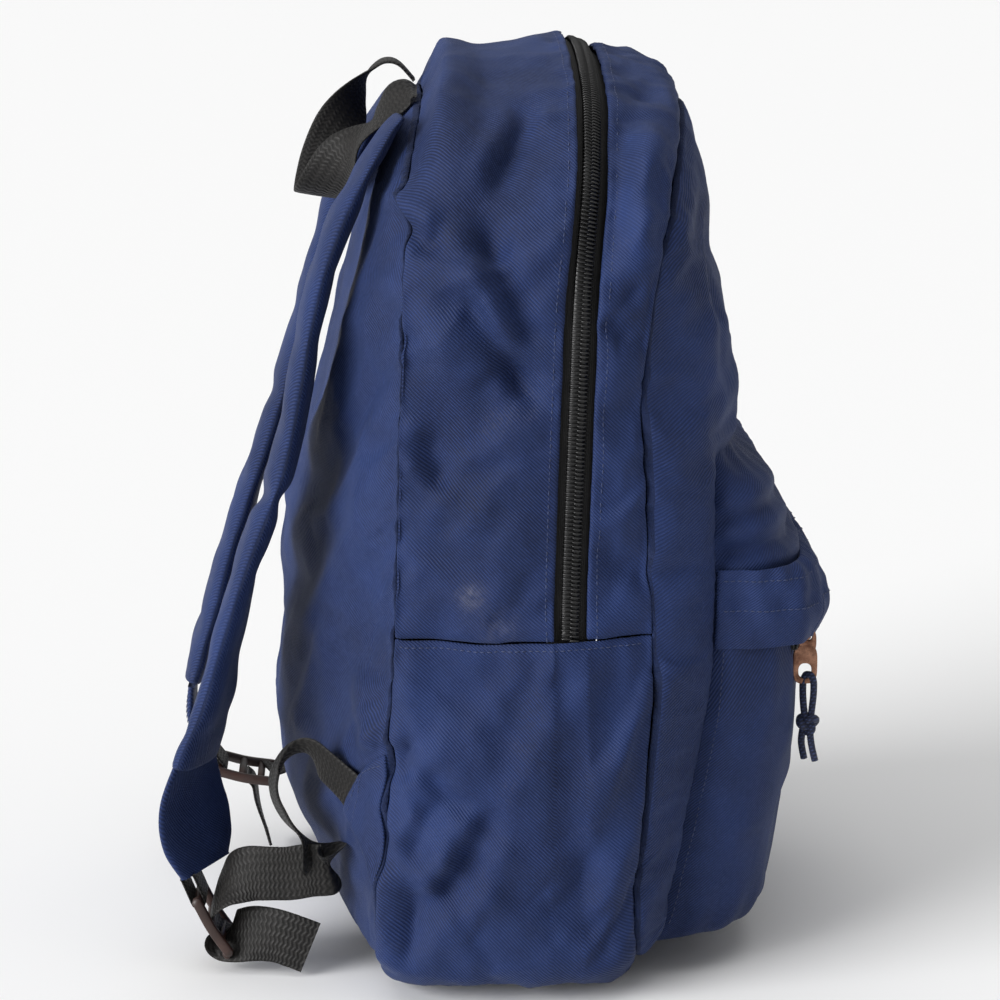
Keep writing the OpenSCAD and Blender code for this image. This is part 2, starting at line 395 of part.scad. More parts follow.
front_panel();
back_panel();
back_foam();
back_lining();
gusset_rear();
gusset_front();
base_gusset();
seam_binding_front();
seam_binding_back();
main_zip_tape();
main_zip_coil();
main_slider();
main_puller();
main_cord();
pocket_lower();
pocket_upper();
pocket_zip_tape();
pocket_zip_coil();
pocket_slider();
pocket_puller();
pocket_cord();
pocket_flap();
flap_end_left();
flap_end_right();
haul_loop();
anchor_tab_left();
anchor_tab_right();
lower_web_left();
lower_web_right();
strap_face_left();
strap_foam_left();
strap_lining_left();
strap_loop_left();
web_band_left();
ladder_lock_left();
web_tail_left();
strap_face_right();
strap_foam_right();
strap_lining_right();
strap_loop_right();
web_band_right();
ladder_lock_right();
web_tail_right();
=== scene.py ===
import math

import bpy
import numpy as np
from mathutils import Matrix, Vector
from mathutils.geometry import delaunay_2d_cdt


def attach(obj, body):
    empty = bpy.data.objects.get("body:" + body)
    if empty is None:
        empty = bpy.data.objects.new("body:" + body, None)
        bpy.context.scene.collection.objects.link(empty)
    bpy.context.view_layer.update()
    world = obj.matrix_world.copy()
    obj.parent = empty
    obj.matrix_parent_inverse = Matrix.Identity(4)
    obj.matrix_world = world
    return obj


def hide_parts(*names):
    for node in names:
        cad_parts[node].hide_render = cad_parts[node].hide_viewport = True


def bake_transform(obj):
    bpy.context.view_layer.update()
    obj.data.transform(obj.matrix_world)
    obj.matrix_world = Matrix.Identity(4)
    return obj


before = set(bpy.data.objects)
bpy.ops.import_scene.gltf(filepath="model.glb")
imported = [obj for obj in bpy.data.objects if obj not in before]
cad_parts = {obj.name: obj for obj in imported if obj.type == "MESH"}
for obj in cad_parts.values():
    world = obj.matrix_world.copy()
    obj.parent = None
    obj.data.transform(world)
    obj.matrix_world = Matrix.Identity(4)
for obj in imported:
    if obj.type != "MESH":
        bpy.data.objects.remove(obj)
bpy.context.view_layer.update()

scene = bpy.context.scene

# ------------------------------------------------------------------ camera
cam_data = bpy.data.cameras.new("cam")
cam_data.sensor_width = 36
cam_data.lens = 117.3
cam_data.clip_end = 120
cam = bpy.data.objects.new("cam", cam_data)
scene.collection.objects.link(cam)
cam.location = (-1.4878, 0.0853, 0.5115)
target = Vector((0, 0.02035, 0.19497))
cam.rotation_euler = (target - cam.location).to_track_quat("-Z", "Y").to_euler()
scene.camera = cam


# ------------------------------------------------------------------ small maths
def smtab(tab, sigma):
    """A table of [x, value] as a smooth function that keeps its end values."""
    tab = np.array(tab, float)
    x = np.linspace(tab[0, 0], tab[-1, 0], 801)
    v = np.interp(x, tab[:, 0], tab[:, 1])
    dx = x[1] - x[0]
    n = max(1, int(3 * sigma / dx))
    k = np.exp(-0.5 * (np.arange(-n, n + 1) * dx / sigma) ** 2)
    k /= k.sum()
    pad = np.concatenate([2 * v[0] - v[1:n + 1][::-1], v, 2 * v[-1] - v[-n - 1:-1][::-1]])
    s = np.convolve(pad, k, "valid")
    return lambda q: np.interp(q, x, s)


def sstep(a, b, x):
    t = np.clip((x - a) / (b - a), 0, 1)
    return t * t * (3 - 2 * t)


def _hash(i, j, k, seed):
    n = (i * 374761393 + j * 668265263 + k * 2147483647 + seed * 1274126177) & 0xFFFFFFFF
    n = ((n ^ (n >> 13)) * 1274126177) & 0xFFFFFFFF
    n = (n ^ (n >> 16)) & 0xFFFFFFFF
    return n / 4294967295.0 * 2 - 1


def vnoise(p, scale, seed=0):
    """Smooth noise from -1 to 1 at points p in mm, with features about scale mm long."""
    q = np.atleast_2d(np.asarray(p, float)) / scale
    f = np.floor(q)
    t = q - f
    t = t * t * t * (t * (t * 6 - 15) + 10)
    f = f.astype(np.int64)
    out = 0
    for dx in (0, 1):
        for dy in (0, 1):
            for dz in (0, 1):
                w = ((t[:, 0] if dx else 1 - t[:, 0]) * (t[:, 1] if dy else 1 - t[:, 1]) * (t[:, 2] if dz else 1 - t[:, 2]))
                out = out + w * _hash(f[:, 0] + dx, f[:, 1] + dy, f[:, 2] + dz, seed)
    return out


def unit(v):
    v = np.asarray(v, float)
    return v / np.maximum(np.linalg.norm(v, axis=-1, keepdims=True), 1e-9)


def catmull(pts, n):
    p = np.asarray(pts, float)
    if p.ndim == 1:
        p = p[:, None]
    out = []
    for i in range(len(p) - 1):
        p0, p1, p2, p3 = p[max(i - 1, 0)], p[i], p[i + 1], p[min(i + 2, len(p) - 1)]
        for k in range(n):
            t = k / n
            out.append(0.5 * (2 * p1 + (p2 - p0) * t + (2 * p0 - 5 * p1 + 4 * p2 - p3) * t * t + (3 * p1 - p0 - 3 * p2 + p3) * t ** 3))
    out.append(p[-1])
    return np.array(out)


def arclen(p):
    return np.concatenate([[0], np.cumsum(np.linalg.norm(np.diff(p, axis=0), axis=1))])


def resample(p, n):
    """n points evenly spaced along p, and the same rows of anything stacked after the first three columns."""
    p = np.asarray(p, float)
    s = arclen(p[:, :3])
    q = np.linspace(0, s[-1], n)
    return np.stack([np.interp(q, s, p[:, c]) for c in range(p.shape[1])], 1)


def grid_faces(nr, nc, closed_r=False, closed_c=False, base=0, flip=False):
    f = []
    for i in range(nr if closed_r else nr - 1):
        for j in range(nc if closed_c else nc - 1):
            i2, j2 = (i + 1) % nr, (j + 1) % nc
            q = (base + i * nc + j, base + i * nc + j2, base + i2 * nc + j2, base + i2 * nc + j)
            f.append(q[::-1] if flip else q)
    return f


def vnormals(V, F):
    N = np.zeros_like(V)
    tri = []
    for f in F:
        for k in range(1, len(f) - 1):
            tri.append((f[0], f[k], f[k + 1]))
    tri = np.array(tri)
    n = np.cross(V[tri[:, 1]] - V[tri[:, 0]], V[tri[:, 2]] - V[tri[:, 0]])
    for c in range(3):
        np.add.at(N, tri[:, c], n)
    return unit(N)


# ------------------------------------------------------------------ objects
def make(name, V, F, mat, weave=None, smooth=True, extra=None):
    """A mesh object from points in mm."""
    me = bpy.data.meshes.new(name)
    me.from_pydata((np.asarray(V, float) * 0.001).tolist(), [], [tuple(int(i) for i in f) for f in F])
    me.update()
    if smooth:
        me.polygons.foreach_set("use_smooth", [True] * len(me.polygons))
    a = me.attributes.new("weave", "FLOAT_VECTOR", "POINT")
    w = np.zeros((len(V), 3), np.float32)
    if weave is not None:
        weave = np.asarray(weave, float)
        w[:, :weave.shape[1]] = weave * 0.001
    a.data.foreach_set("vector", w.ravel())
    if extra is not None:
        e = me.attributes.new("wear", "FLOAT", "POINT")
        e.data.foreach_set("value", np.asarray(extra, np.float32))
    me.materials.append(mat)
    ob = bpy.data.objects.new(name, me)
    scene.collection.objects.link(ob)
    return ob


def bake_mods(ob):
    bpy.context.view_layer.update()
    dg = bpy.context.evaluated_depsgraph_get()
    me = bpy.data.meshes.new_from_object(ob.evaluated_get(dg), preserve_all_data_layers=True, depsgraph=dg)
    ob.modifiers.clear()
    ob.data = me
    return ob


def solidify(ob, t, offset=-1):
    m = ob.modifiers.new("thick", "SOLIDIFY")
    m.thickness = t * 0.001
    m.offset = offset
    return ob


def subsurf(ob, n=1):
    m = ob.modifiers.new("sub", "SUBSURF")
    m.levels = m.render_levels = n
    m.boundary_smooth = "ALL"
    return ob


def done(ob, body, nodes=(), blend=None, apply=True):
    if apply:
        bake_mods(ob)
    if blend:
        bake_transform(ob)
    else:
        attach(ob, body)
    if nodes:
        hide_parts(*nodes)
    return ob


def ribbon(name, ctrl, t, mat, n=6, ripple=0.0, seed=1, sides=7, w_off=0.0):
    """Flat webbing along ctrl = [centre, width direction, width]."""
    c = catmull([q[0] for q in ctrl], n)
    d = catmull([q[1] for q in ctrl], n)
    w = catmull([q[2] for q in ctrl], n)[:, 0]
    tg = unit(np.gradient(c, axis=0))
    wd = unit(d - tg * (d * tg).sum(1)[:, None])
    nn = np.cross(tg, wd)
    s = arclen(c)
    # a flat section with rounded selvedges
    u = np.linspace(-1, 1, sides)
    prof = [(x, 0.5 * (1 if abs(x) < 0.9 else 0.72)) for x in u] + [(1.0, 0.0)] if False else None
    xs_ = np.concatenate([[-1.0], np.linspace(-0.955, 0.955, sides), [1.0], np.linspace(0.955, -0.955, sides)])
    ys_ = np.concatenate([[0.0], np.full(sides, -0.5), [0.0], np.full(sides, 0.5)])
    k = len(xs_)
    V, W = [], []
    for i in range(len(c)):
        cup = ripple * vnoise([[s[i], 0, 0]], 14, seed)[0]
        for x, y in zip(xs_, ys_):
            lift = cup * (x * x) + ripple * 0.6 * vnoise([[s[i], x * 9, 3]], 9, seed + 7)[0]
            V.append(c[i] + wd[i] * (x * w[i] / 2 + w_off) + nn[i] * (y * t + lift))
            W.append((s[i], x * w[i] / 2, 0))
    F = grid_faces(len(c), k, closed_c=True)
    m = (len(c) - 1) * k
    F += [tuple(range(k)), tuple(range(m + k - 1, m - 1, -1))]
    return make(name, V, F, mat, W), (c, wd, nn, s)


def tube(name, path, r, mat, sides=8, closed=False, taper=None):
    p = np.asarray(path, float)
    m = len(p)
    tg = unit(np.roll(p, -1, 0) - np.roll(p, 1, 0)) if closed else unit(np.gradient(p, axis=0))
    ref = np.array([0.31, 0.12, 0.95])
    V, W = [], []
    s = arclen(p)
    u = unit(np.cross(tg[0], ref if abs(tg[0] @ unit(ref)) < 0.9 else np.array([1.0, 0, 0])))
    us = []
    for i in range(m):
        u = unit(u - tg[i] * (u @ tg[i]))
        us.append(u)
    for i in range(m):
        v = np.cross(tg[i], us[i])
        rr = r * (taper[i] if taper is not None else 1)
        for j in range(sides):
            a = 2 * math.pi * j / sides
            V.append(p[i] + rr * (math.cos(a) * us[i] + math.sin(a) * v))
            W.append((s[i], a * r, 0))
    F = grid_faces(m, sides, closed_r=closed, closed_c=True)
    if not closed:
        F += [tuple(range(sides))[::-1], tuple(range((m - 1) * sides, m * sides))]
        F = [f for f in F]
    return V, F, W


def stitches(name, path, nrm, mat, body, pitch=3.0, length=2.1, r=0.3, lift=0.12, blend=None):
    """A row of lockstitches along a path, with the surface normal at each point."""
    p = np.asarray(path, float)
    nr = np.asarray(nrm, float)
    s = arclen(p)
    V, F = [], []
    n = int((s[-1] - length) / pitch)
    for k in range(n):
        s0 = 0.5 * pitch + k * pitch
        qs = [s0 - length / 2, s0 - length * 0.3, s0, s0 + length * 0.3, s0 + length / 2]
        pts = np.stack([np.interp(qs, s, p[:, c]) for c in range(3)], 1)
        nn = unit(np.stack([np.interp(qs, s, nr[:, c]) for c in range(3)], 1))
        tg = unit(np.gradient(pts, axis=0))
        sd = np.cross(tg, nn)
        rr = np.array([0.35, 0.85, 1, 0.85, 0.35]) * r
        up = np.array([-0.45, -0.02, 0.1, -0.02, -0.45]) * r * 1.6 + lift
        b = len(V)
        for i in range(5):
            for a in range(6):
                an = math.pi / 3 * a
                V.append(pts[i] + sd[i] * rr[i] * math.cos(an) + nn[i] * (rr[i] * 0.75 * math.sin(an) + up[i]))
        F += grid_faces(5, 6, closed_c=True, base=b)
        F += [tuple(range(b, b + 6))[::-1], tuple(range(b + 24, b + 30))]
    if not V:
        return None
    ob = make(name, V, F, mat)
    return done(ob, body, blend=blend, apply=False)


# ------------------------------------------------------------------ materials
class Nodes:
    def __init__(self, name):
        self.mat = bpy.data.materials.new(name)
        self.mat.use_nodes = True
        self.t = self.mat.node_tree
        self.t.nodes.clear()
        self.out = self.t.nodes.new("ShaderNodeOutputMaterial")
        self.b = self.t.nodes.new("ShaderNodeBsdfPrincipled")
        self.t.links.new(self.b.outputs[0], self.out.inputs[0])

    def n(self, kind, **props):
        x = self.t.nodes.new("ShaderNode" + kind)
        for k, v in props.items():
            setattr(x, k, v)
        return x

    def l(self, a, b):
        self.t.links.new(a, b)

    def math(self, op, a, b=None, c=None):
        x = self.n("Math", operation=op)
        for i, v in enumerate((a, b, c)):
            if v is None:
                continue
            if isinstance(v, (int, float)):
                x.inputs[i].default_value = v
            else:
                self.l(v, x.inputs[i])
        return x.outputs[0]

    def noise(self, vec, scale, detail=2.0, rough=0.5):
        x = self.n("TexNoise")
        x.inputs["Scale"].default_value = scale
        x.inputs["Detail"].default_value = detail
        x.inputs["Roughness"].default_value = rough
        self.l(vec, x.inputs["Vector"])
        return x.outputs[0]

    def mix(self, fac, a, b, blend="MIX"):
        x = self.n("Mix", data_type="RGBA", blend_type=blend)
        for sock, v in ((x.inputs[0], fac), (x.inputs[6], a), (x.inputs[7], b)):
            if isinstance(v, (int, float)):
                sock.default_value = v
            elif isinstance(v, tuple):
                sock.default_value = (*v, 1)
            else:
                self.l(v, sock)
        return x.outputs[2]

    def ramp(self, v, a, b, lo=0.0, hi=1.0):
        x = self.n("MapRange")
        x.clamp = True
        self.l(v, x.inputs[0])
        for i, q in enumerate((a, b, lo, hi)):
            x.inputs[i + 1].default_value = q
        return x.outputs[0]

    def bump(self, height, strength, dist, normal=None):
        x = self.n("Bump")
        x.inputs["Strength"].default_value = strength
        x.inputs["Distance"].default_value = dist
        self.l(height, x.inputs["Height"])
        if normal is not None:
            self.l(normal, x.inputs["Normal"])
        return x.outputs[0]

    def weave(self):
        a = self.n("Attribute", attribute_name="weave")
        s = self.n("SeparateXYZ")
        self.l(a.outputs["Vector"], s.inputs[0])
        return s.outputs[0], s.outputs[1], a.outputs["Vector"]

    def pos(self):
        return self.n("NewGeometry").outputs["Position"]

    def obj(self):
        return self.n("TexCoord").outputs["Object"]


def set_in(b, **kw):
    for k, v in kw.items():
        b.inputs[k.replace("_", " ")].default_value = v


def twill_material(name, dark, light, tone=1.0, lining=False):
    m = Nodes(name)
    a, b, wv = m.weave()
    P = m.obj()
    wob = m.noise(P, 55, 2)
    slub = m.noise(P, 420, 2)
    ph = m.math("ADD", m.math("DIVIDE", m.math("SUBTRACT", a, b), 0.00163), m.math("MULTIPLY", wob, 0.9))
    wave = m.math("MULTIPLY_ADD", m.math("SINE", m.math("MULTIPLY", ph, 2 * math.pi)), 0.5, 0.5)
    th = m.math("MULTIPLY_ADD", m.math("SINE", m.math("MULTIPLY", m.math("DIVIDE", m.math("ADD", a, b), 0.0010), 2 * math.pi)), 0.5, 0.5)
    h = m.math("MULTIPLY_ADD", m.math("MULTIPLY", wave, th), 0.35, m.math("MULTIPLY", wave, 0.65))
    hv = m.math("MULTIPLY", h, m.ramp(slub, 0.3, 0.7, 0.55, 1.0))
    broad = m.noise(P, 14, 3)
    mid = m.noise(P, 60, 3)
    col = m.mix(hv, tuple(x * tone for x in dark), tuple(x * tone for x in light))
    col = m.mix(m.ramp(broad, 0.3, 0.7, 0.0, 0.5), col, tuple(x * tone * 1.16 for x in light))
    col = m.mix(m.ramp(mid, 0.35, 0.75, 0.0, 0.22), col, tuple(x * tone * 0.5 for x in dark))
    # dusty, rubbed places on the high spots
    speck = m.noise(P, 900, 1)
    dust = m.math("MULTIPLY", m.ramp(m.noise(P, 26, 4, 0.6), 0.60, 0.80), m.ramp(speck, 0.45, 0.75))
    col = m.mix(m.math("MULTIPLY", dust, 0.22), col, (0.11, 0.11, 0.15))
    wear = m.n("Attribute", attribute_name="wear").outputs["Fac"]
    col = m.mix(m.math("MULTIPLY", wear, m.ramp(m.noise(P, 300, 3), 0.3, 0.75, 0.15, 0.9)), col, (0.20, 0.20, 0.24))
    m.l(col, m.b.inputs["Base Color"])
    m.l(m.ramp(hv, 0, 1, 0.70, 0.52), m.b.inputs["Roughness"])
    set_in(m.b, Sheen_Weight=0.07, Sheen_Roughness=0.45, Specular_IOR_Level=0.22)
    m.b.inputs["Sheen Tint"].default_value = (0.55, 0.65, 1, 1)
    n1 = m.bump(m.noise(P, 160, 3), 0.25, 0.0009)
    n2 = m.bump(hv, 0.8, 0.0004, n1)
    m.l(n2, m.b.inputs["Normal"])
    return m.mat


def webbing_material():
    m = Nodes("webbing")
    a, b, wv = m.weave()
    P = m.obj()
    cols = m.math("MULTIPLY_ADD", m.math("SINE", m.math("MULTIPLY", b, 2 * math.pi / 0.0042)), 0.5, 0.5)
    zig = m.math("MULTIPLY", m.math("ABSOLUTE", m.math("SUBTRACT", m.math("MULTIPLY", m.math("FRACT", m.math("ADD", m.math("DIVIDE", b, 0.0042), 100)), 2), 1)), 0.0009)
    ribs = m.math("MULTIPLY_ADD", m.math("SINE", m.math("MULTIPLY", m.math("ADD", a, zig), 2 * math.pi / 0.0021)), 0.5, 0.5)
    h = m.math("MULTIPLY_ADD", ribs, 0.75, m.math("MULTIPLY", cols, 0.25))
    h = m.math("MULTIPLY", h, m.ramp(m.noise(P, 700, 2), 0.25, 0.7, 0.6, 1))
    col = m.mix(h, (0.0015, 0.0014, 0.0013), (0.0088, 0.0078, 0.0072))
    fuzz = m.noise(P, 1500, 2)
    col = m.mix(m.ramp(fuzz, 0.55, 0.8, 0, 0.4), col, (0.045, 0.040, 0.035))
    col = m.mix(m.ramp(m.noise(P, 90, 3), 0.4, 0.75, 0, 0.3), col, (0.016, 0.014, 0.013))
    m.l(col, m.b.inputs["Base Color"])
    m.l(m.ramp(h, 0, 1, 0.75, 0.48), m.b.inputs["Roughness"])
    set_in(m.b, Sheen_Weight=0.05, Sheen_Roughness=0.4, Specular_IOR_Level=0.32)
    m.l(m.bump(h, 0.8, 0.0005), m.b.inputs["Normal"])
    return m.mat


def tape_material():
    m = Nodes("zip_tape")
    P = m.obj()
    a, b, wv = m.weave()
    rib = m.math("MULTIPLY_ADD", m.math("SINE", m.math("MULTIPLY", b, 2 * math.pi / 0.0009)), 0.5, 0.5)
    weft = m.math("MULTIPLY_ADD", m.math("SINE", m.math("MULTIPLY", a, 2 * math.pi / 0.0006)), 0.5, 0.5)
    h = m.math("MULTIPLY_ADD", rib, 0.6, m.math("MULTIPLY", weft, 0.4))
    col = m.mix(h, (0.0025, 0.0025, 0.0028), (0.0095, 0.009, 0.009))
    col = m.mix(m.ramp(m.noise(P, 1200, 2), 0.6, 0.8, 0, 0.35), col, (0.05, 0.05, 0.055))
    m.l(col, m.b.inputs["Base Color"])
    m.l(m.ramp(h, 0, 1, 0.8, 0.6), m.b.inputs["Roughness"])
    set_in(m.b, Specular_IOR_Level=0.3, Sheen_Weight=0.05)
    m.l(m.bump(h, 0.6, 0.0002), m.b.inputs["Normal"])
    return m.mat


def nylon_material():
    m = Nodes("zip_coil")
    P = m.obj()
    n = m.noise(P, 800, 2)
    m.l(m.mix(m.ramp(n, 0.3, 0.7), (0.003, 0.003, 0.0033), (0.009, 0.009, 0.0095)), m.b.inputs["Base Color"])
    m.l(m.ramp(m.noise(P, 300, 2), 0.3, 0.7, 0.26, 0.42), m.b.inputs["Roughness"])
    set_in(m.b, Specular_IOR_Level=0.5)
    m.l(m.bump(n, 0.2, 0.0001), m.b.inputs["Normal"])
    return m.mat


def copper_material():
    m = Nodes("zip_metal")
    P = m.obj()
    big = m.noise(P, 240, 4)
    fine = m.noise(P, 1800, 2)
    col = m.mix(m.ramp(big, 0.35, 0.65), (0.16, 0.075, 0.048), (0.33, 0.175, 0.115))
    col = m.mix(m.ramp(fine, 0.5, 0.75, 0, 0.55), col, (0.055, 0.035, 0.028))
    m.l(col, m.b.inputs["Base Color"])
    set_in(m.b, Metallic=0.9)
    m.l(m.ramp(m.noise(P, 600, 3), 0.3, 0.7, 0.30, 0.55), m.b.inputs["Roughness"])
    m.l(m.bump(fine, 0.25, 0.0001), m.b.inputs["Normal"])
    return m.mat


def cord_material():
    m = Nodes("pull_cord")
    P = m.obj()
    w = m.n("TexWave", wave_type="BANDS", bands_direction="DIAGONAL")
    w.inputs["Scale"].default_value = 260
    w.inputs["Distortion"].default_value = 1.5
    m.l(P, w.inputs["Vector"])
    w2 = m.n("TexWave", wave_type="BANDS", bands_direction="Z")
    w2.inputs["Scale"].default_value = 210
    w2.inputs["Distortion"].default_value = 1.2
    m.l(P, w2.inputs["Vector"])
    h = m.math("MULTIPLY", w.outputs[1], w2.outputs[1])
    col = m.mix(h, (0.006, 0.009, 0.028), (0.026, 0.042, 0.125))
    m.l(col, m.b.inputs["Base Color"])
    m.l(m.ramp(h, 0, 1, 0.75, 0.5), m.b.inputs["Roughness"])
    set_in(m.b, Sheen_Weight=0.15, Specular_IOR_Level=0.35)
    m.l(m.bump(h, 0.6, 0.0003), m.b.inputs["Normal"])
    return m.mat


def acetal_material():
    m = Nodes("buckle_plastic")
    P = m.obj()
    n = m.noise(P, 60, 3)
    scr = m.noise(P, 1400, 2)
    col = m.mix(m.ramp(n, 0.3, 0.7), (0.019, 0.009, 0.007), (0.042, 0.019, 0.014))
    col = m.mix(m.ramp(scr, 0.62, 0.8, 0, 0.4), col, (0.09, 0.06, 0.05))
    m.l(col, m.b.inputs["Base Color"])
    m.l(m.ramp(m.noise(P, 200, 3), 0.3, 0.7, 0.34, 0.5), m.b.inputs["Roughness"])
    set_in(m.b, Specular_IOR_Level=0.5)
    m.l(m.bump(scr, 0.12, 0.0001), m.b.inputs["Normal"])
    return m.mat


def thread_material():
    m = Nodes("thread")
    P = m.obj()
    n = m.noise(P, 900, 2)
    m.l(m.mix(m.ramp(n, 0.3, 0.7), (0.012, 0.020, 0.062), (0.034, 0.052, 0.135)), m.b.inputs["Base Color"])
    m.l(m.ramp(n, 0.3, 0.7, 0.45, 0.65), m.b.inputs["Roughness"])
    set_in(m.b, Sheen_Weight=0.1, Specular_IOR_Level=0.4)
    m.l(m.bump(n, 0.3, 0.0001), m.b.inputs["Normal"])
    return m.mat


TW_D, TW_L = (0.0020, 0.0052, 0.0235), (0.0178, 0.0385, 0.139)
twill = twill_material("twill", TW_D, TW_L)
lining_m = twill_material("lining", TW_D, TW_L, 0.8)
webbing = webbing_material()
tape_m = tape_material()
coil_m = nylon_material()
copper = copper_material()
cord_m = cord_material()
acetal = acetal_material()
thread = thread_material()

# ------------------------------------------------------------------ body outline
HW, MW, TOP, CROWN, ARCH, ZEND = 140.0, 150.0, 388.0, 413.0, 300.0, 165.0


def spw(v, p):
    return np.power(np.clip(v, 0, 1), p)


def half_dense():
    a = np.radians(np.linspace(90, 0, 240))
    c, s = spw(np.cos(a), 2 / 6), spw(np.sin(a), 2 / 6)
    bot = np.stack([HW * c, 68 - 60 * s, MW * c, np.maximum(0, 68 - 69.5 * s)], 1)
    z = np.linspace(68, ARCH, 120)[1:]
    st = np.stack([0 * z + HW, z, 0 * z + MW, z], 1)
    a = np.radians(np.linspace(0, 90, 240))[1:]
    c, s = spw(np.cos(a), 2 / 2.3), spw(np.sin(a), 2 / 2.3)
    top = np.stack([HW * c, ARCH + (TOP - ARCH) * s, MW * c, ARCH + (CROWN - ARCH) * s], 1)
    return np.vstack([bot, st, top])


HD = half_dense()
hs = np.concatenate([[0], np.cumsum(np.linalg.norm(np.diff(0.5 * (HD[:, :2] + HD[:, 2:]), axis=0), axis=1))])
s165 = float(np.interp(ZEND, HD[:, 1], hs))
STEP = 3.2
low_s = np.linspace(0, s165, int(round(s165 / STEP)) + 1)
up_s = np.linspace(s165, hs[-1], int(round((hs[-1] - s165) / STEP)) + 1)
half_s = np.concatenate([low_s, up_s[1:]])
half = np.stack([np.interp(half_s, hs, HD[:, c]) for c in range(4)], 1)
NH = len(half)
rows = np.vstack([half, half[1:-1][::-1]])
NR = len(rows)
sgn = np.concatenate([-np.ones(NH), np.ones(NH - 2)])
U = np.concatenate([half_s, 2 * hs[-1] - half_s[1:-1][::-1]]) - s165 + ZEND
over = np.concatenate([half_s, half_s[1:-1][::-1]]) >= s165 - 1e-6

ysb = smtab([[0, 80], [44, 78], [172, 72.5], [238, 70], [310, 68], [350, 67], [372, 64], [388, 58], [413, 52]], 7)
ysf = smtab([[0, -36], [52, -33], [136, -41], [171, -40], [267, -34], [318, -41], [369, -52], [388, -58], [413, -58]], 7)
zyR = smtab([[0, -8], [300, -8], [352, -11], [379, -12], [413, -17]], 8)
zyL = smtab([[0, -2], [165, -3], [311, -7.5], [352, -10.5], [379, -12], [413, -17]], 8)
bb = smtab([[8, 0], [20, 14], [35, 20], [51, 28], [73, 43], [110, 47], [200, 45], [246, 38], [300, 28], [347, 15], [374, 7], [388, 0]], 6)
fb = smtab([[8, 0], [24, 18], [60, 30], [110, 38], [180, 43], [239, 47], [267, 45], [300, 35], [341, 18], [374, 8], [388, 0]], 6)
rear_rise = smtab([[0, 0], [0.12, 0.36], [0.25, 0.62], [0.45, 0.86], [0.7, 0.99], [0.85, 0.98], [1, 0.92]], 0.03)
front_fall = smtab([[0, 0.7], [0.25, 0.63], [0.5, 0.5], [0.75, 0.3], [1, 0]], 0.04)
base_rise = smtab([[0, 0], [0.03, 0.5], [0.08, 0.85], [0.16, 1], [0.8, 1], [0.9, 0.8], [0.96, 0.5], [1, 0]], 0.02)


def xs_of(z):
    return np.interp(z, HD[:, 1], HD[:, 0])


def y_back(x, z):
    r = np.clip(np.abs(x) / np.maximum(xs_of(z), 1e-3), 0, 1)
    return ysb(z) + bb(z) * (1 - r ** 2)


def y_front(x, z):
    r = np.clip(np.abs(x) / np.maximum(xs_of(z), 1e-3), 0, 1)
    return ysf(z) - fb(z) * (1 - r ** 5.5)


def zip_y(z, s):
    return np.where(s < 0, zyL(z), zyR(z))


# ------------------------------------------------------------------ the body's shell, one closed mesh
GAP = 6.6
fr = np.array([0, .016, .04, .07] + list(np.linspace(.108, .955, 21)) + [.985, 1.0])
gp = np.array([.25, .5, .75])
ff = np.array([0, .04, .11] + list(np.linspace(.2, .8, 7)) + [.88, .95, 1.0])
NCR, NCG, NCF = len(fr), len(gp), len(ff)
NC = NCR + NCG + NCF
seam_x, seam_z, mid_x, mid_z = rows.T
topmix = sstep(ARCH, CROWN - 6, mid_z)
yB, yF = ysb(seam_z), ysf(seam_z)
zy = np.where(sgn < 0, zyL(seam_z), zyR(seam_z))
zy = zy * (1 - topmix) + (-15.5) * topmix
ycols = np.zeros((NR, NC))
for i in range(NR):
    z1, z2 = zy[i] + GAP, zy[i] - GAP
    ycols[i] = np.concatenate([yB[i] + (z1 - yB[i]) * fr, z1 + (z2 - z1) * gp, z2 + (yF[i] - z2) * ff])


rear_top = smtab([[0, 0], [0.03, 0.36], [0.08, 0.74], [0.15, 0.96], [0.3, 1.02], [0.5, 0.93], [0.64, 0.90], [0.82, 0.98], [1, 0.92]], 0.025)
front_top = smtab([[0, 0.7], [0.25, 0.72], [0.5, 0.66], [0.75, 0.48], [0.92, 0.24], [1, 0]], 0.03)


def crown_share(y, yb_, ym, yf_, z):
    g = 8.0
    ta = np.clip((yb_ - y) / (yb_ - ym - g), 0, 1)
    tb = np.clip((ym - g - y) / (ym - g - yf_), 0, 1)
    a = rear_rise(ta) * (1 - topmix) + rear_top(ta) * topmix
    b = front_fall(tb) * (1 - topmix) + front_top(tb) * topmix
    m = 0.81 + 0.11 * (y - ym) / g
    c = np.where(y > ym + g, a, np.where(y < ym - g, b, m))
    base = base_rise(np.clip((yb_ - y) / (yb_ - yf_), 0, 1))
    k = sstep(ZEND + 4, ZEND - 50, z)
    return c * (1 - k) + base * k


G0 = np.zeros((NR, NC, 3))
for j in range(NC):
    y = ycols[:, j]
    c = crown_share(y, yB, zy, yF, seam_z)
    G0[:, j, 0] = sgn * (seam_x + (mid_x - seam_x) * c)
    G0[:, j, 1] = y
    G0[:, j, 2] = seam_z + (mid_z - seam_z) * c

# 2-D normal of the seam outline
P2 = np.stack([sgn * seam_x, seam_z], 1)
T2 = np.roll(P2, -1, 0) - np.roll(P2, 1, 0)
N2 = unit(np.stack([T2[:, 1], -T2[:, 0]], 1))
if (N2 * (P2 - np.array([0, 200]))).sum() < 0:
    N2 = -N2

verts = [G0.reshape(-1, 3)]
reg_sd = [np.minimum(np.abs(ycols - yB[:, None]), np.abs(ycols - yF[:, None])).ravel()]
reg_u = [np.repeat(U, NC)]
reg_id = [np.full(NR * NC, 2)]
weave = [np.stack([np.repeat(U, NC), ycols.ravel()], 1)]


def gi(i, j):
    return (i % NR) * NC + j


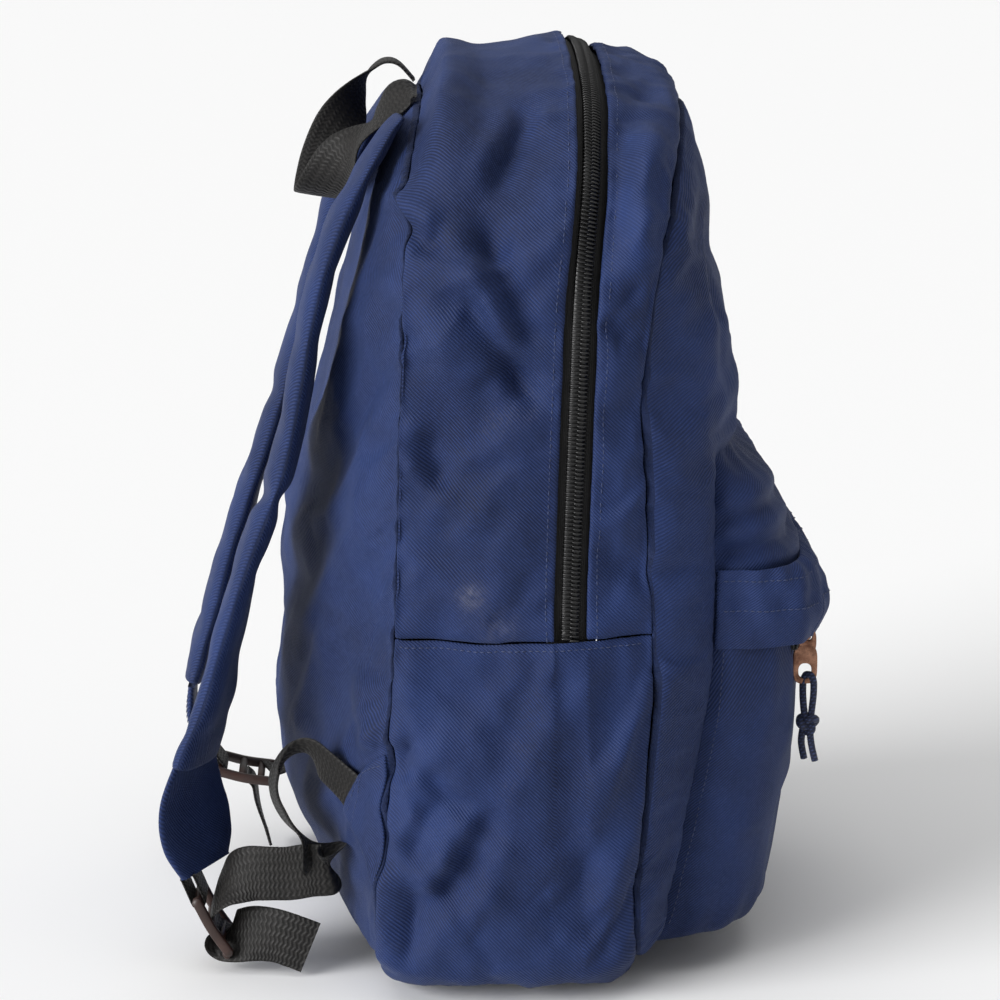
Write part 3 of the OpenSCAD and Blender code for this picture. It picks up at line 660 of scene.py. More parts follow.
faces = {"gusset_rear": [], "gusset_front": [], "base_gusset": [], "gap": [], "back_panel": [], "front_panel": []}
for i in range(NR):
    up = over[i] and over[(i + 1) % NR]
    for j in range(NC - 1):
        q = (gi(i, j), gi(i, j + 1), gi(i + 1, j + 1), gi(i + 1, j))
        if not up:
            faces["base_gusset"].append(q)
        elif j < NCR - 1:
            faces["gusset_rear"].append(q)
        elif j >= NCR + NCG:
            faces["gusset_front"].append(q)
        else:
            faces["gap"].append(q)


def panel(front):
    """The panel's points by Delaunay triangles between the seam loop and an even inside grid."""
    pts = [P2]
    sds = [np.zeros(NR)]
    us = [U.copy()]
    for d in (1.4, 3.4, 6.4, 10, 14, 18):
        q = P2 - N2 * d
        keep = np.ones(NR, bool) if d < 4 else (np.arange(NR) % (1 if d < 9 else 1) == 0)
        pts.append(q[keep]); sds.append(np.full(keep.sum(), d)); us.append(U[keep])
    h = 4.4
    gx, gz = [], []
    for r_, z in enumerate(np.arange(12, 386, h * 0.866)):
        x = np.arange(-138, 138, h) + (h / 2 if r_ % 2 else 0)
        gx.append(x); gz.append(np.full(len(x), z))
    g = np.stack([np.concatenate(gx), np.concatenate(gz)], 1)
    dd = np.empty(len(g)); ui = np.empty(len(g), int)
    for k in range(0, len(g), 2000):
        d2 = ((g[k:k + 2000, None, :] - P2[None]) ** 2).sum(2)
        ui[k:k + 2000] = d2.argmin(1); dd[k:k + 2000] = np.sqrt(d2.min(1))
    xin = np.abs(g[:, 0]) < xs_of(g[:, 1])
    ok = xin & (dd > 20.5)
    pts.append(g[ok]); sds.append(dd[ok]); us.append(U[ui[ok]])
    p = np.vstack(pts)
    res = delaunay_2d_cdt([Vector(v) for v in p], [(i, (i + 1) % NR) for i in range(NR)], [], 1, 1e-6)
    vo, fo, ov = res[0], res[2], res[3]
    m = [o[0] if o else -1 for o in ov]
    tris = [tuple(m[i] for i in f) for f in fo]
    assert all(min(t) >= 0 for t in tris)
    return p, np.concatenate(sds), np.concatenate(us), tris


for name, front in (("back_panel", False), ("front_panel", True)):
    p, sd, uu, tris = panel(front)
    base = sum(len(v) for v in verts)
    y = y_front(p[:, 0], p[:, 1]) if front else y_back(p[:, 0], p[:, 1])
    V = np.stack([p[:, 0], y, p[:, 1]], 1)
    verts.append(V[NR:]); reg_sd.append(sd[NR:]); reg_u.append(uu[NR:])
    reg_id.append(np.full(len(V) - NR, 1 if front else 0))
    weave.append(np.stack([p[NR:, 1], p[NR:, 0]], 1))
    col = NC - 1 if front else 0
    idx = [gi(i, col) for i in range(NR)] + list(range(base, base + len(V) - NR))
    for t in tris:
        a, b, c = (idx[k] for k in t)
        P = p[list(t)]
        ccw = np.cross(P[1] - P[0], P[2] - P[0]) > 0
        want = front
        faces[name].append((a, b, c) if ccw == want else (a, c, b))

V0 = np.vstack(verts)
SD = np.concatenate(reg_sd)
UU = np.concatenate(reg_u)
RID = np.concatenate(reg_id)
WV = np.vstack(weave)
allF = [f for k in faces for f in faces[k]]
N0 = vnormals(V0, allF)
print("shell", len(V0), "verts", len(allF), "faces")

left = sstep(-20, -70, V0[:, 0])
right = sstep(20, 70, V0[:, 0])
y_, z_, x_ = V0[:, 1], V0[:, 2], V0[:, 0]
zipd = np.where(RID == 2, np.abs(y_ - np.interp(UU, U[np.argsort(U)], zy[np.argsort(U)])), 99)
zmask = 1 - np.exp(-(zipd / 10) ** 2) * (RID == 2) * (z_ > 130)
rzip = (RID == 2) & (x_ > 60) & (z_ > 150) & (z_ < 315) & (zipd < 17)
under_pocket = (RID == 1) * sstep(118, 108, np.abs(x_)) * sstep(10, 18, z_) * sstep(246, 236, z_)


# ------------------------------------------------------------------ cloth simulation of the shell
def cloth(V, F, pin, frames=18, pressure=0.6, shrink=-0.02, gravity=0.0, bend=0.6, stiff=18, quality=5, mass=0.25):
    me = bpy.data.meshes.new("simtmp")
    me.from_pydata((V * 0.001).tolist(), [], [tuple(int(i) for i in f) for f in F])
    me.update()
    ob = bpy.data.objects.new("simtmp", me)
    scene.collection.objects.link(ob)
    g = ob.vertex_groups.new(name="pin")
    q = np.round(np.clip(pin, 0, 1), 2)
    for w in np.unique(q):
        if w > 0:
            g.add(np.nonzero(q == w)[0].tolist(), float(w), "REPLACE")
    md = ob.modifiers.new("Cloth", "CLOTH")
    s = md.settings
    s.quality = quality
    s.mass = mass
    s.tension_stiffness = s.compression_stiffness = stiff
    s.shear_stiffness = stiff * 0.5
    s.bending_stiffness = bend
    s.tension_damping = s.compression_damping = s.shear_damping = 12
    s.bending_damping = 1.0
    s.air_damping = 3
    s.vertex_group_mass = "pin"
    s.pin_stiffness = 1.0
    s.use_pressure = pressure != 0
    s.uniform_pressure_force = pressure
    s.shrink_min = shrink
    s.effector_weights.gravity = gravity
    md.collision_settings.use_collision = False
    md.collision_settings.use_self_collision = False
    md.point_cache.frame_start = 1
    md.point_cache.frame_end = frames
    for f in range(1, frames + 1):
        scene.frame_set(f)
    dg = bpy.context.evaluated_depsgraph_get()
    em = ob.evaluated_get(dg).to_mesh()
    out = np.zeros(len(V) * 3, np.float32)
    em.vertices.foreach_get("co", out)
    out = out.reshape(-1, 3).astype(float) * 1000
    bpy.data.objects.remove(ob)
    scene.frame_set(1)
    return out


D = np.zeros_like(V0)
pin = np.full(len(V0), 0.02)
seam = SD < 0.1
pin[seam] = 0.55
pin = np.maximum(pin, (RID == 2) * np.exp(-(zipd / 8) ** 4) * (z_ > 160) * 0.9)
pin[rzip] = 1
pin = np.maximum(pin, sstep(7, 3, z_) * 0.9)
pin = np.maximum(pin, under_pocket)
pin = np.maximum(pin, (RID == 0) * np.exp(-(((np.abs(x_) - 74) / 32) ** 4 + ((z_ - 372) / 16) ** 4)) * 0.8)
out = cloth(V0, allF, pin, frames=22, pressure=0.12, shrink=-0.035, gravity=0.12, bend=0.9)
D = out - V0
L = np.linalg.norm(D, axis=1)
print("sim moved mean %.2f max %.2f mm" % (L.mean(), L.max()))
cap = 5.5
D *= (cap * np.tanh(L / cap) / np.maximum(L, 1e-6))[:, None]
D[rzip] = 0
D *= (1 - 0.9 * under_pocket)[:, None]


# ------------------------------------------------------------------ folds placed one by one, then fine unevenness
def dist_line(py, pz, line):
    line = np.asarray(line, float)
    best = np.full(len(py), 1e9)
    along = np.zeros(len(py))
    s = np.concatenate([[0], np.cumsum(np.linalg.norm(np.diff(line, axis=0), axis=1))])
    for k in range(len(line) - 1):
        a, b = line[k], line[k + 1]
        ab = b - a
        t = np.clip(((py - a[0]) * ab[0] + (pz - a[1]) * ab[1]) / (ab @ ab), 0, 1)
        d = np.hypot(py - a[0] - t * ab[0], pz - a[1] - t * ab[1])
        hit = d < best
        best = np.where(hit, d, best)
        along = np.where(hit, s[k] + t * (s[k + 1] - s[k]), along)
    return best, along, s[-1]


FOLD_GAIN = 2.1
H = np.zeros(len(V0))
face_left = np.clip(-N0[:, 0] / 0.35, 0, 1) * left


def fold(line, depth, width, sharp=False, taper=0.25):
    """A ridge (depth > 0) or valley (depth < 0) along a line of (y, z) on the near side."""
    global H
    d, s, L = dist_line(y_, z_, line)
    width = max(width, 6.0)
    e = np.exp(-(d / width) ** 1.25) if sharp else np.exp(-(d / width) ** 2)
    t = np.clip(s / L, 0, 1)
    w = sstep(-0.001, taper, t) * sstep(1.001, 1 - taper, t) * 0.85 + 0.15
    H += FOLD_GAIN * depth * e * w * face_left


# upper rear panel
fold([(14, 392), (21, 378), (32, 354)], -3.6, 4, sharp=True)
fold([(20, 392), (28, 380), (38, 358)], 2.2, 7)
fold([(37, 351), (28, 329), (11, 287)], -4.2, 5.0, sharp=True)
fold([(37, 351), (28, 329), (11, 287)], -2.0, 7)
fold([(43, 334), (29, 305), (19, 286)], 4.0, 6.5)
fold([(47, 311), (39, 313), (9, 262)], -4.0, 4.5, sharp=True)
fold([(47, 311), (39, 313), (9, 262)], -1.6, 7)
fold([(31, 335), (19, 300), (6, 275)], 1.6, 6)
fold([(72, 353), (52, 342)], 3.5, 6)
fold([(70, 345), (50, 333)], -2.6, 4.5)
fold([(54, 257), (58, 247), (52, 237), (56, 228)], -3.2, 4, sharp=True)
fold([(60, 262), (64, 250), (60, 236)], 2.0, 6)
fold([(62, 318), (50, 296), (44, 270)], 1.8, 9)
fold([(66, 300), (55, 280)], -1.6, 5)
# front gusset
fold([(-33, 391), (-25, 375), (-23, 347), (-16, 315)], -2.6, 5)
fold([(-38, 380), (-34, 355), (-30, 325)], 2.2, 7)
fold([(-46, 402), (-41, 390)], -2.5, 5)
fold([(-16, 302), (-29, 294)], -1.8, 4)
fold([(-27, 316), (-32, 311)], -1.8, 4)
fold([(-11, 207), (-43, 186)], -1.8, 6)
# lower gusset
fold([(14, 166), (-11, 151), (10, 115)], 1.8, 9)
fold([(85, 150), (87, 136), (80, 120), (70, 116)], 3.0, 5)
fold([(64, 122), (70, 114), (67, 102)], -4.0, 4, sharp=True)
fold([(70, 134), (58, 118), (47, 107), (30, 130)], 1.2, 9)
fold([(60, 112), (50, 98), (40, 88)], -2.2, 5)
fold([(38, 96), (32, 89), (47, 59), (64, 40)], -3.0, 6)
fold([(52, 100), (60, 80), (66, 62)], -2.4, 5)
fold([(58, 92), (52, 76), (60, 58)], 1.8, 6)
fold([(46, 98), (42, 84), (54, 62)], 2.2, 8)
fold([(24, 84), (30, 60), (44, 40)], 1.6, 8)
fold([(76, 66), (77, 32), (77, 16)], 3.0, 5)
fold([(68, 60), (67, 34), (68, 16)], -3.4, 4, sharp=True)
fold([(0, 96), (-8, 60), (-16, 30)], -1.6, 8)
fold([(-22, 130), (-24, 90), (-18, 50)], 1.4, 9)
fold([(20, 60), (0, 44), (-20, 38)], -1.2, 7)

# gathers where a seam pulls the cloth
ph = UU + 6 * vnoise(np.stack([UU, 0 * UU, 0 * UU], 1), 40, 5)
puck = np.sin(ph * 2 * np.pi / 15.0) * (0.5 + 0.5 * vnoise(np.stack([UU, 0 * UU + 9, 0 * UU], 1), 55, 8))
seam_amp = np.where(RID == 2, 0.75, 0.9)
H += seam_amp * puck * np.exp(-SD / 10) * sstep(0, 3, SD)
# gathers at the cross seams, which run across the gusset
dz = np.abs(z_ - ZEND)
side_g = (RID == 2) & (np.abs(x_) > 100)
pk = np.sin((y_ + 5 * vnoise(np.stack([y_, 0 * y_, x_ * 0.01], 1), 30, 3)) * 2 * np.pi / 19.0)
H += side_g * 0.8 * pk * np.exp(-dz / 9) * sstep(0, 3, dz) * zmask
# broad sag and small crumple
H += (2.0 * vnoise(V0, 75, 11) + 0.6 * vnoise(V0, 38, 12)) * zmask * sstep(0, 22, SD)
cr = 1 - np.abs(vnoise(V0 * np.array([1, 1, 0.75]) + np.array([0, 0.6, 0]) * z_[:, None], 34, 21)) * 2
H += 1.3 * np.clip(cr, -0.2, 1) * zmask * sstep(0, 12, SD)
cr2 = 1 - np.abs(vnoise(V0 @ np.array([[1, 0, 0], [0, 0.8, 0.6], [0, -0.6, 0.8]]), 17, 31)) * 2
H += 0.6 * cr2 * zmask * sstep(0, 8, SD)
# the crown's outline: full over the rear corner, slack before the zip
topw = sstep(0.55, 0.9, N0[:, 2]) * (z_ > 340)
H += topw * (4.5 * np.exp(-((y_ - 58) / 12) ** 2) - 3.6 * np.exp(-((y_ - 33) / 12) ** 2) - 2.0 * np.exp(-((y_ + 34) / 9) ** 2))
# the bottom stays flat on the floor
H *= np.where(z_ < 5, 0.15, 1)
H[rzip] = 0
H = H * (1 - under_pocket) - 3.0 * under_pocket
V1 = V0 + D + N0 * H[:, None]
V1[:, 2] = np.maximum(V1[:, 2], 0.3)
# nothing may leave the CAD outline by much
V1[:, 2] = np.minimum(V1[:, 2], 416)
G1 = V1[:NR * NC].reshape(NR, NC, 3)
NG = N0[:NR * NC].reshape(NR, NC, 3)

# ------------------------------------------------------------------ split the shell into its sewn panels
seam_idx = set(np.nonzero(SD < 0.1)[0].tolist())
tuck = np.zeros(len(V1))
tuck[list(seam_idx)] = 2.0
zip_edges = [gi(i, NCR - 1) for i in range(NR) if over[i]] + [gi(i, NCR + NCG) for i in range(NR) if over[i]]
tuck[zip_edges] = np.maximum(tuck[zip_edges], 1.8)
cross_rows = [i for i in range(NR) if abs(U[i] - ZEND) < 0.5 or abs(abs(U[i] - (2 * (hs[-1] - s165) + ZEND)) ) < 0.5]
for i in cross_rows:
    for j in range(NC):
        if not (NCR <= j < NCR + NCG):
            tuck[gi(i, j)] = max(tuck[gi(i, j)], 1.3)
VT = V1 - N0 * tuck[:, None]
VT[:, 2] = np.maximum(VT[:, 2], 0.3)
wear = np.zeros(len(V1))
near = np.hypot(y_ - 39, z_ - 186)
wear = np.where(left * (RID == 2) > 0.5, 0.42 * np.exp(-(near / 5) ** 2), 0)
near = np.hypot(y_ - 27, z_ - 171)
wear += np.where(left * (RID == 2) > 0.5, 0.16 * np.exp(-(near / 8) ** 2), 0)

spec = {
    "back_panel": ["back_panel", "back_foam", "back_lining", "seam_binding_back"],
    "front_panel": ["front_panel", "seam_binding_front"],
    "gusset_rear": ["gusset_rear"],
    "gusset_front": ["gusset_front"],
    "base_gusset": ["base_gusset"],
}
body_ob = {}
for name, reps in spec.items():
    F = faces[name]
    used = np.unique(np.array([i for f in F for i in f]))
    m = {int(v): k for k, v in enumerate(used)}
    ob = make("vis_" + name, VT[used], [tuple(m[i] for i in f) for f in F], twill, WV[used], extra=wear[used])
    solidify(ob, 1.2)
    subsurf(ob, 1)
    body_ob[name] = done(ob, "bag", reps)

# ------------------------------------------------------------------ main zip
ov = [i for i in range(NR) if over[i]]
e1 = G1[ov, NCR - 1]
e2 = G1[ov, NCR + NCG]
zc = 0.5 * (e1 + e2)
zw = unit(e1 - e2)
zt = unit(np.gradient(zc, axis=0))
zn = unit(np.cross(zw, zt))
if (zn * (zc - np.array([0, 0, 200]))).sum() < 0:
    zn = -zn


def smooth_rows(a, k=3, n=3):
    a = a.copy()
    for _ in range(n):
        b = a.copy()
        for d in range(1, k + 1):
            b[k:-k] += a[k - d:len(a) - k - d] + a[k + d:len(a) - k + d]
        b[k:-k] /= 2 * k + 1
        a = b
    return a


zc, zw, zn = smooth_rows(zc), unit(smooth_rows(zw)), unit(smooth_rows(zn))
zn = unit(zn - zw * (zn * zw).sum(1)[:, None])
off = np.linspace(-9.4, 9.4, 13)
V, W = [], []
zs = arclen(zc)
for i in range(len(zc)):
    for o in off:
        V.append(zc[i] + zw[i] * o - zn[i] * (2.9 + 0.25 * (abs(o) > 4) + 1.1 * (abs(o) > 7)))
        W.append((zs[i], o))
ob = make("vis_main_zip_tape", V, grid_faces(len(zc), len(off), flip=True), tape_m, W)
solidify(ob, 0.7)
done(ob, "bag", ["main_zip_tape"])


def coil(name, c, w, n, body, nodes, pitch=1.85):
    """Interlocked teeth of a nylon coil along a centre line."""
    s = arclen(c)
    V, F, W = [], [], []
    k = int(s[-1] / pitch)
    t_all = unit(np.gradient(c, axis=0))
    prof = [(3.72, -2.7), (3.8, -1.5), (3.3, -0.72), (1.9, -0.5), (0.2, -0.72), (-0.55, -1.6)]
    for i in range(k):
        for sd in (1, -1):
            q = (i + 0.5 + (0.25 if sd > 0 else -0.25)) * pitch
            p = np.array([np.interp(q, s, c[:, a]) for a in range(3)])
            ww = unit(np.array([np.interp(q, s, w[:, a]) for a in range(3)]))
            nn = unit(np.array([np.interp(q, s, n[:, a]) for a in range(3)]))
            tt = unit(np.cross(ww, nn))
            b = len(V)
            for r_, (px, pz) in enumerate(prof):
                rr = (0.34, 0.40, 0.46, 0.50, 0.50, 0.34)[r_]
                slant = 0.18 * sd * (px - 1.5)
                # section lies across the tooth
                nxt = prof[min(r_ + 1, 5)]
                prv = prof[max(r_ - 1, 0)]
                dx, dz_ = nxt[0] - prv[0], nxt[1] - prv[1]
                ln = math.hypot(dx, dz_)
                dx, dz_ = dx / ln, dz_ / ln
                for a in range(6):
                    an = math.pi / 3 * a + 0.5
                    u_, v_ = math.cos(an) * rr, math.sin(an) * rr
                    V.append(p + ww * sd * (px - dz_ * v_) + nn * (pz + dx * v_) + tt * (u_ + slant * 0.4))
                    W.append((q, px))
            f = grid_faces(6, 6, closed_c=True, base=b)
            f += [tuple(range(b, b + 6))[::-1], tuple(range(b + 30, b + 36))]
            F += f
    # the stitched cord under the teeth
    V = list(V)
    b = len(V)
    for i in range(len(c)):
        for o, d in ((-3.6, -2.85), (-3.4, -2.0), (0, -1.75), (3.4, -2.0), (3.6, -2.85), (0, -2.95)):
            V.append(c[i] + w[i] * o + n[i] * d)
            W.append((s[i], o))
    F += grid_faces(len(c), 6, closed_c=True, base=b)
    F += [tuple(range(b, b + 6))[::-1], tuple(range(b + (len(c) - 1) * 6, b + len(c) * 6))]
    ob = make(name, V, F, coil_m, W)
    me = ob.data
    return done(ob, body, nodes)


keep = zs < zs[-1] - 0.5
coil("vis_main_zip_coil", zc, zw, zn, "bag", ["main_zip_coil"])


# topstitch beside the zip, on the cloth
def grid_path(y_off_from, col_edge, side_cols, dist):
    """Points on the displaced gusset at a set distance from the zip's edge."""
    P, Nn = [], []
    for i in ov:
        line = G1[i, side_cols]
        nl = NG[i, side_cols]
        s = arclen(line)
        P.append([np.interp(dist, s, line[:, a]) for a in range(3)])
        Nn.append([np.interp(dist, s, nl[:, a]) for a in range(3)])
    return np.array(P), unit(np.array(Nn))


for nm, cols in (("rear", list(range(NCR - 1, -1, -1))), ("front", list(range(NCR + NCG, NC)))):
    P, Nn = grid_path(None, None, cols, 4.6)
    P, Nn = smooth_rows(P, 1, 1), smooth_rows(Nn, 2, 2)
    stitches("zip_topstitch_" + nm, P, Nn, thread, "bag", pitch=2.9, length=2.1, r=0.26, lift=0.05)
# stitches under the cross seams
for i0 in cross_rows:
    lo = i0 - 1 if U[i0] < 300 else i0 + 1
    line = G1[lo % NR]
    nl = NG[lo % NR]
    stitches("cross_topstitch_%d" % (0 if U[i0] < 300 else 1), line[2:-2], nl[2:-2], thread, "bag", pitch=3.0, length=2.1, r=0.26, lift=0.05)

# ------------------------------------------------------------------ front pocket
PW = 112.0
low_y = smtab([[14, -88], [20, -93], [28, -99.5], [36, -101.5], [43, -102.6], [64, -105.5], [86, -109.5], [105, -112.5], [118, -113.5], [130, -113], [142, -111.5], [158, -109.5]], 3.5)
up_y = smtab([[150, -108], [158, -108], [170, -110], [180, -112.5], [188, -113.2], [196, -109.5], [207, -103.5], [216, -98.5], [224, -94.2], [232, -88], [240, -82]], 3.0)


def pocket_half(z):
    return np.minimum(PW, xs_of(np.maximum(z, 9)) - 6)


def pocket_rows(zs_, yf, n=3.6, ncol=86, off=0.0, extra_side=3.0):
    """Rows of points round the pocket from the left side seam over the front to the right one."""
    th = np.linspace(0, math.pi, 400)
    out = []
    for z, y0 in zip(zs_, yf):
        hw = float(pocket_half(z)) + off
        ys = float(y_front(min(hw, PW), z)) + extra_side
        c, s = np.cos(th), np.sin(th)
        e = 2 / n
        x = -np.sign(c) * np.abs(c) ** e * hw
        y = ys + (y0 - off - ys) * np.abs(s) ** e
        p = resample(np.stack([x, y, 0 * x + z], 1), ncol)
        out.append(p)
    return np.array(out)


def relief(Gp, amp_pk, seed, edges_v=True):
    """Gathers and soft crumple on a grid of points."""
    nr, nc, _ = Gp.shape
    F = grid_faces(nr, nc)
    V = Gp.reshape(-1, 3)
    N = vnormals(V, F)
    if (N * (V - np.array([0, -60, 120]))).sum() < 0:
        N = -N
    h = 1.3 * vnoise(V, 46, seed) + 0.7 * vnoise(V, 22, seed + 1)
    cr = 1 - np.abs(vnoise(V, 15, seed + 2)) * 2
    h += 0.45 * cr
    return V, N, h


def cols_s(Gp):
    s = np.linalg.norm(np.diff(Gp, axis=1), axis=2)
    return np.concatenate([np.zeros((len(Gp), 1)), np.cumsum(s, 1)], 1)


# lower part: bottom edge, then up to the zip
zl = np.concatenate([[15.5, 15.8, 16.4, 17.5, 19.5], np.arange(22, 141.5, 3.1), [143.6]])
yl = low_y(zl)
frac = np.array([0.0, 0.35, 0.68, 0.88, 0.97] + [1.0] * (len(zl) - 5))
Gp = pocket_rows(zl, yl)
for r_ in range(5):
    yp = y_front(np.clip(Gp[r_, :, 0], -111, 111), zl[r_] + 2) + 3
    Gp[r_, :, 1] = yp + (Gp[r_, :, 1] - yp) * frac[r_]
    Gp[r_, :, 0] *= 0.965 + 0.035 * frac[r_]
V, N, h = relief(Gp, 0.8, 41)
S = cols_s(Gp).ravel()
Z = V[:, 2]
edge_d = np.minimum(S, S.max() - S)
h += 0.9 * np.sin(Z * 2 * np.pi / 17 + 2 * vnoise(V, 30, 4)) * np.exp(-edge_d / 12)
h += 1.0 * np.sin(S * 2 * np.pi / 21 + 2.2 * vnoise(V, 40, 6)) * np.exp(-np.abs(Z - 143) / 16)
h += 0.9 * np.sin(S * 2 * np.pi / 16 + 2.2 * vnoise(V, 40, 9)) * np.exp(-np.abs(Z - 24) / 10)
rg = 1 - np.abs(vnoise(V * np.array([1, 1, 0.6]), 34, 47)) * 2
h += 1.4 * np.clip(rg, -0.3, 1) * sstep(0, 14, edge_d) * sstep(146, 130, Z)
h *= sstep(0, 6, edge_d)
h = np.where(np.repeat(np.arange(len(zl)), Gp.shape[1]) < 2, 0, h)
Vp = V + N * h[:, None]
Vp[:, 2] += 14.5 * sstep(118, 143.6, Z) * sstep(82, 97, np.abs(V[:, 0]))
ob = make("vis_pocket_lower", Vp, grid_faces(*Gp.shape[:2]), twill, np.stack([Z, S], 1))
solidify(ob, 1.2)
subsurf(ob, 1)
done(ob, "bag", ["pocket_lower"])
GPL = Vp.reshape(Gp.shape)
NPL = N.reshape(Gp.shape)

# upper part: over the zip, and the gathered top
zu = np.concatenate([[156.4], np.arange(159, 238, 2.9), [240.5, 242.5]])
yu = up_y(np.minimum(zu, 240))
Gp = pocket_rows(zu, yu)
for r_, z in enumerate(zu):
    t = sstep(222, 241, z)
    yp = y_front(np.clip(Gp[r_, :, 0], -111, 111), min(z, 240)) + 2.5
    Gp[r_, :, 1] = Gp[r_, :, 1] * (1 - t) + yp * t
    k = 1 - 0.03 * t
    Gp[r_, :, 0] *= k
V, N, h = relief(Gp, 0.8, 61)
S = cols_s(Gp).ravel()
Z = V[:, 2]
edge_d = np.minimum(S, S.max() - S)
wob = 3.5 * vnoise(V * np.array([1, 1, 0]), 34, 71)
zz = Z + wob + 0.06 * np.abs(V[:, 0])
h += 3.0 * np.exp(-((zz - 226) / 5.5) ** 2) + 2.6 * np.exp(-((zz - 212) / 5) ** 2) - 2.6 * np.exp(-((zz - 219) / 3) ** 2) - 3.2 * np.exp(-((zz - 203) / 4) ** 2) + 1.6 * np.exp(-((zz - 196) / 4.5) ** 2)
h += 0.9 * np.sin(S * 2 * np.pi / 18 + 2.2 * vnoise(V, 40, 6)) * np.exp(-np.abs(Z - 236) / 9)
h *= sstep(0, 5, edge_d) * sstep(243, 237, Z)
Vp = V + N * h[:, None]
ob = make("vis_pocket_upper", Vp, grid_faces(*Gp.shape[:2]), twill, np.stack([Z, S], 1))
solidify(ob, 1.2)
subsurf(ob, 1)
done(ob, "bag", ["pocket_upper"])

# rain flap
flap_tab = catmull([[187.5, -111.5], [184, -116.6], [177, -120.8], [170, -123.8], [161, -125.4], [152, -123.6], [145.5, -121.2], [143, -120.0]], 3)
zf = flap_tab[:, 0]
Gp = pocket_rows(zf, flap_tab[:, 1] + 3.4, n=4.4, ncol=110, off=3.4, extra_side=1.0)
V, N, h = relief(Gp, 0.8, 81)
S = cols_s(Gp).ravel()
Z = V[:, 2]
smax = S.max()
edge_d = np.minimum(S, smax - S)
h *= 0.7
h += 1.5 * np.sin(S * 2 * np.pi / 17 + 2.4 * vnoise(V, 36, 7)) * np.exp(-np.abs(Z - 168) / 10)
h += 1.0 * (1 - 2 * np.abs(vnoise(V * np.array([1, 1, 0.7]), 24, 87)))
h += 1.0 * np.sin(S * 2 * np.pi / 12 + 2.0 * vnoise(V, 30, 17)) * np.exp(-np.abs(Z - 184) / 7)
h += -0.9 * np.exp(-((Z - 168.5) / 2.2) ** 2)
h *= sstep(0, 8, edge_d)
Vp = V + N * h[:, None]
sag = 2.2 * vnoise(np.stack([V[:, 0], 0 * Z, 0 * Z], 1), 38, 19) * sstep(165, 145, Z)
Vp[:, 2] += sag + (187 - Z) / 44 * (2 + 7.5 * sstep(40, 100, np.abs(V[:, 0])))
GF = Vp.reshape(Gp.shape)
NF = N.reshape(Gp.shape)
WVF = np.stack([Z, S], 1).reshape(*Gp.shape[:2], 2)
xf = GF[:, :, 0]
mid_row = len(zf) // 2
jl = int(np.argmin(np.abs(Gp[mid_row, :55, 0] + 96)))
jr = Gp.shape[1] - 1 - jl


def flap_piece(name, j0, j1, body, blend, nodes):
    q = GF[:, j0:j1 + 1]
    ob = make(name, q.reshape(-1, 3), grid_faces(*q.shape[:2], flip=True), twill, WVF[:, j0:j1 + 1].reshape(-1, 2))
    solidify(ob, 1.5)
    subsurf(ob, 1)
    return done(ob, body, nodes, blend)


flap_piece("vis_pocket_flap", jl, jr, "pocket_flap", None, ["pocket_flap"])
flap_piece("vis_flap_end_left", 0, jl, None, ("bag", "pocket_flap", (-0.1135, -0.11, 0.16), (-0.097, -0.12, 0.16)), ["flap_end_left"])
flap_piece("vis_flap_end_right", jr, Gp.shape[1] - 1, None, ("bag", "pocket_flap", (0.1135, -0.11, 0.16), (0.097, -0.12, 0.16)), ["flap_end_right"])


def row_at(Gg, Ng, z, j0, j1):
    P, Q = [], []
    for j in range(j0, j1 + 1):
        col = Gg[:, j]
        zz_ = col[:, 2]
        o = np.argsort(zz_)
        P.append([np.interp(z, zz_[o], col[o, a]) for a in range(3)])
        Q.append([np.interp(z, zz_[o], Ng[o, j, a]) for a in range(3)])
    return np.array(P), unit(np.array(Q))


for k, z in enumerate((182.5, 169.0)):
    P, Q = row_at(GF, NF, z, jl + 1, jr - 1)
    stitches("flap_stitch_%d" % k, P, Q, thread, "pocket_flap", pitch=3.0, length=2.2, r=0.28, lift=0.15)
    for nm, a, b, sx in (("l", 1, jl, -1), ("r", jr, Gp.shape[1] - 2, 1)):
        P, Q = row_at(GF, NF, z, a, b)
        stitches("flap_end_stitch_%s%d" % (nm, k), P, Q, thread, None, pitch=3.0, length=2.2, r=0.28, lift=0.15,
                 blend=("bag", "pocket_flap", (sx * 0.1135, -0.11, 0.16), (sx * 0.097, -0.12, 0.16)))
P, Q = row_at(GF, NF, 148.5, jl + 1, jr - 1)
stitches("flap_hem", P, Q, thread, "pocket_flap", pitch=3.0, length=2.2, r=0.28, lift=0.1)
# pocket side seams
for nm, j in (("l", 2), ("r", GPL.shape[1] - 3)):
    stitches("pocket_side_" + nm, GPL[6:-1, j], NPL[6:-1, j], thread, "bag", pitch=3.0, length=2.1, r=0.26, lift=0.05)

# pocket zip under the flap
xz = np.linspace(-95.5, 95.5, 96)
c = np.stack([xz, 0 * xz - 108.0, 0 * xz + 150], 1)
w = np.tile([0, 0, 1.0], (len(xz), 1))
n = np.tile([0, -1.0, 0], (len(xz), 1))
V, W = [], []
for i in range(len(xz)):
    for o in np.linspace(-12.5, 12.5, 9):
        V.append(c[i] + w[i] * o - n[i] * (2.9 + 0.2 * (abs(o) > 4)))
        W.append((xz[i], o))
ob = make("vis_pocket_zip_tape", V, grid_faces(len(xz), 9, flip=True), tape_m, W)
solidify(ob, 0.7)
done(ob, "bag", ["pocket_zip_tape"])
coil("vis_pocket_zip_coil", c, w, n, "bag", ["pocket_zip_coil"])


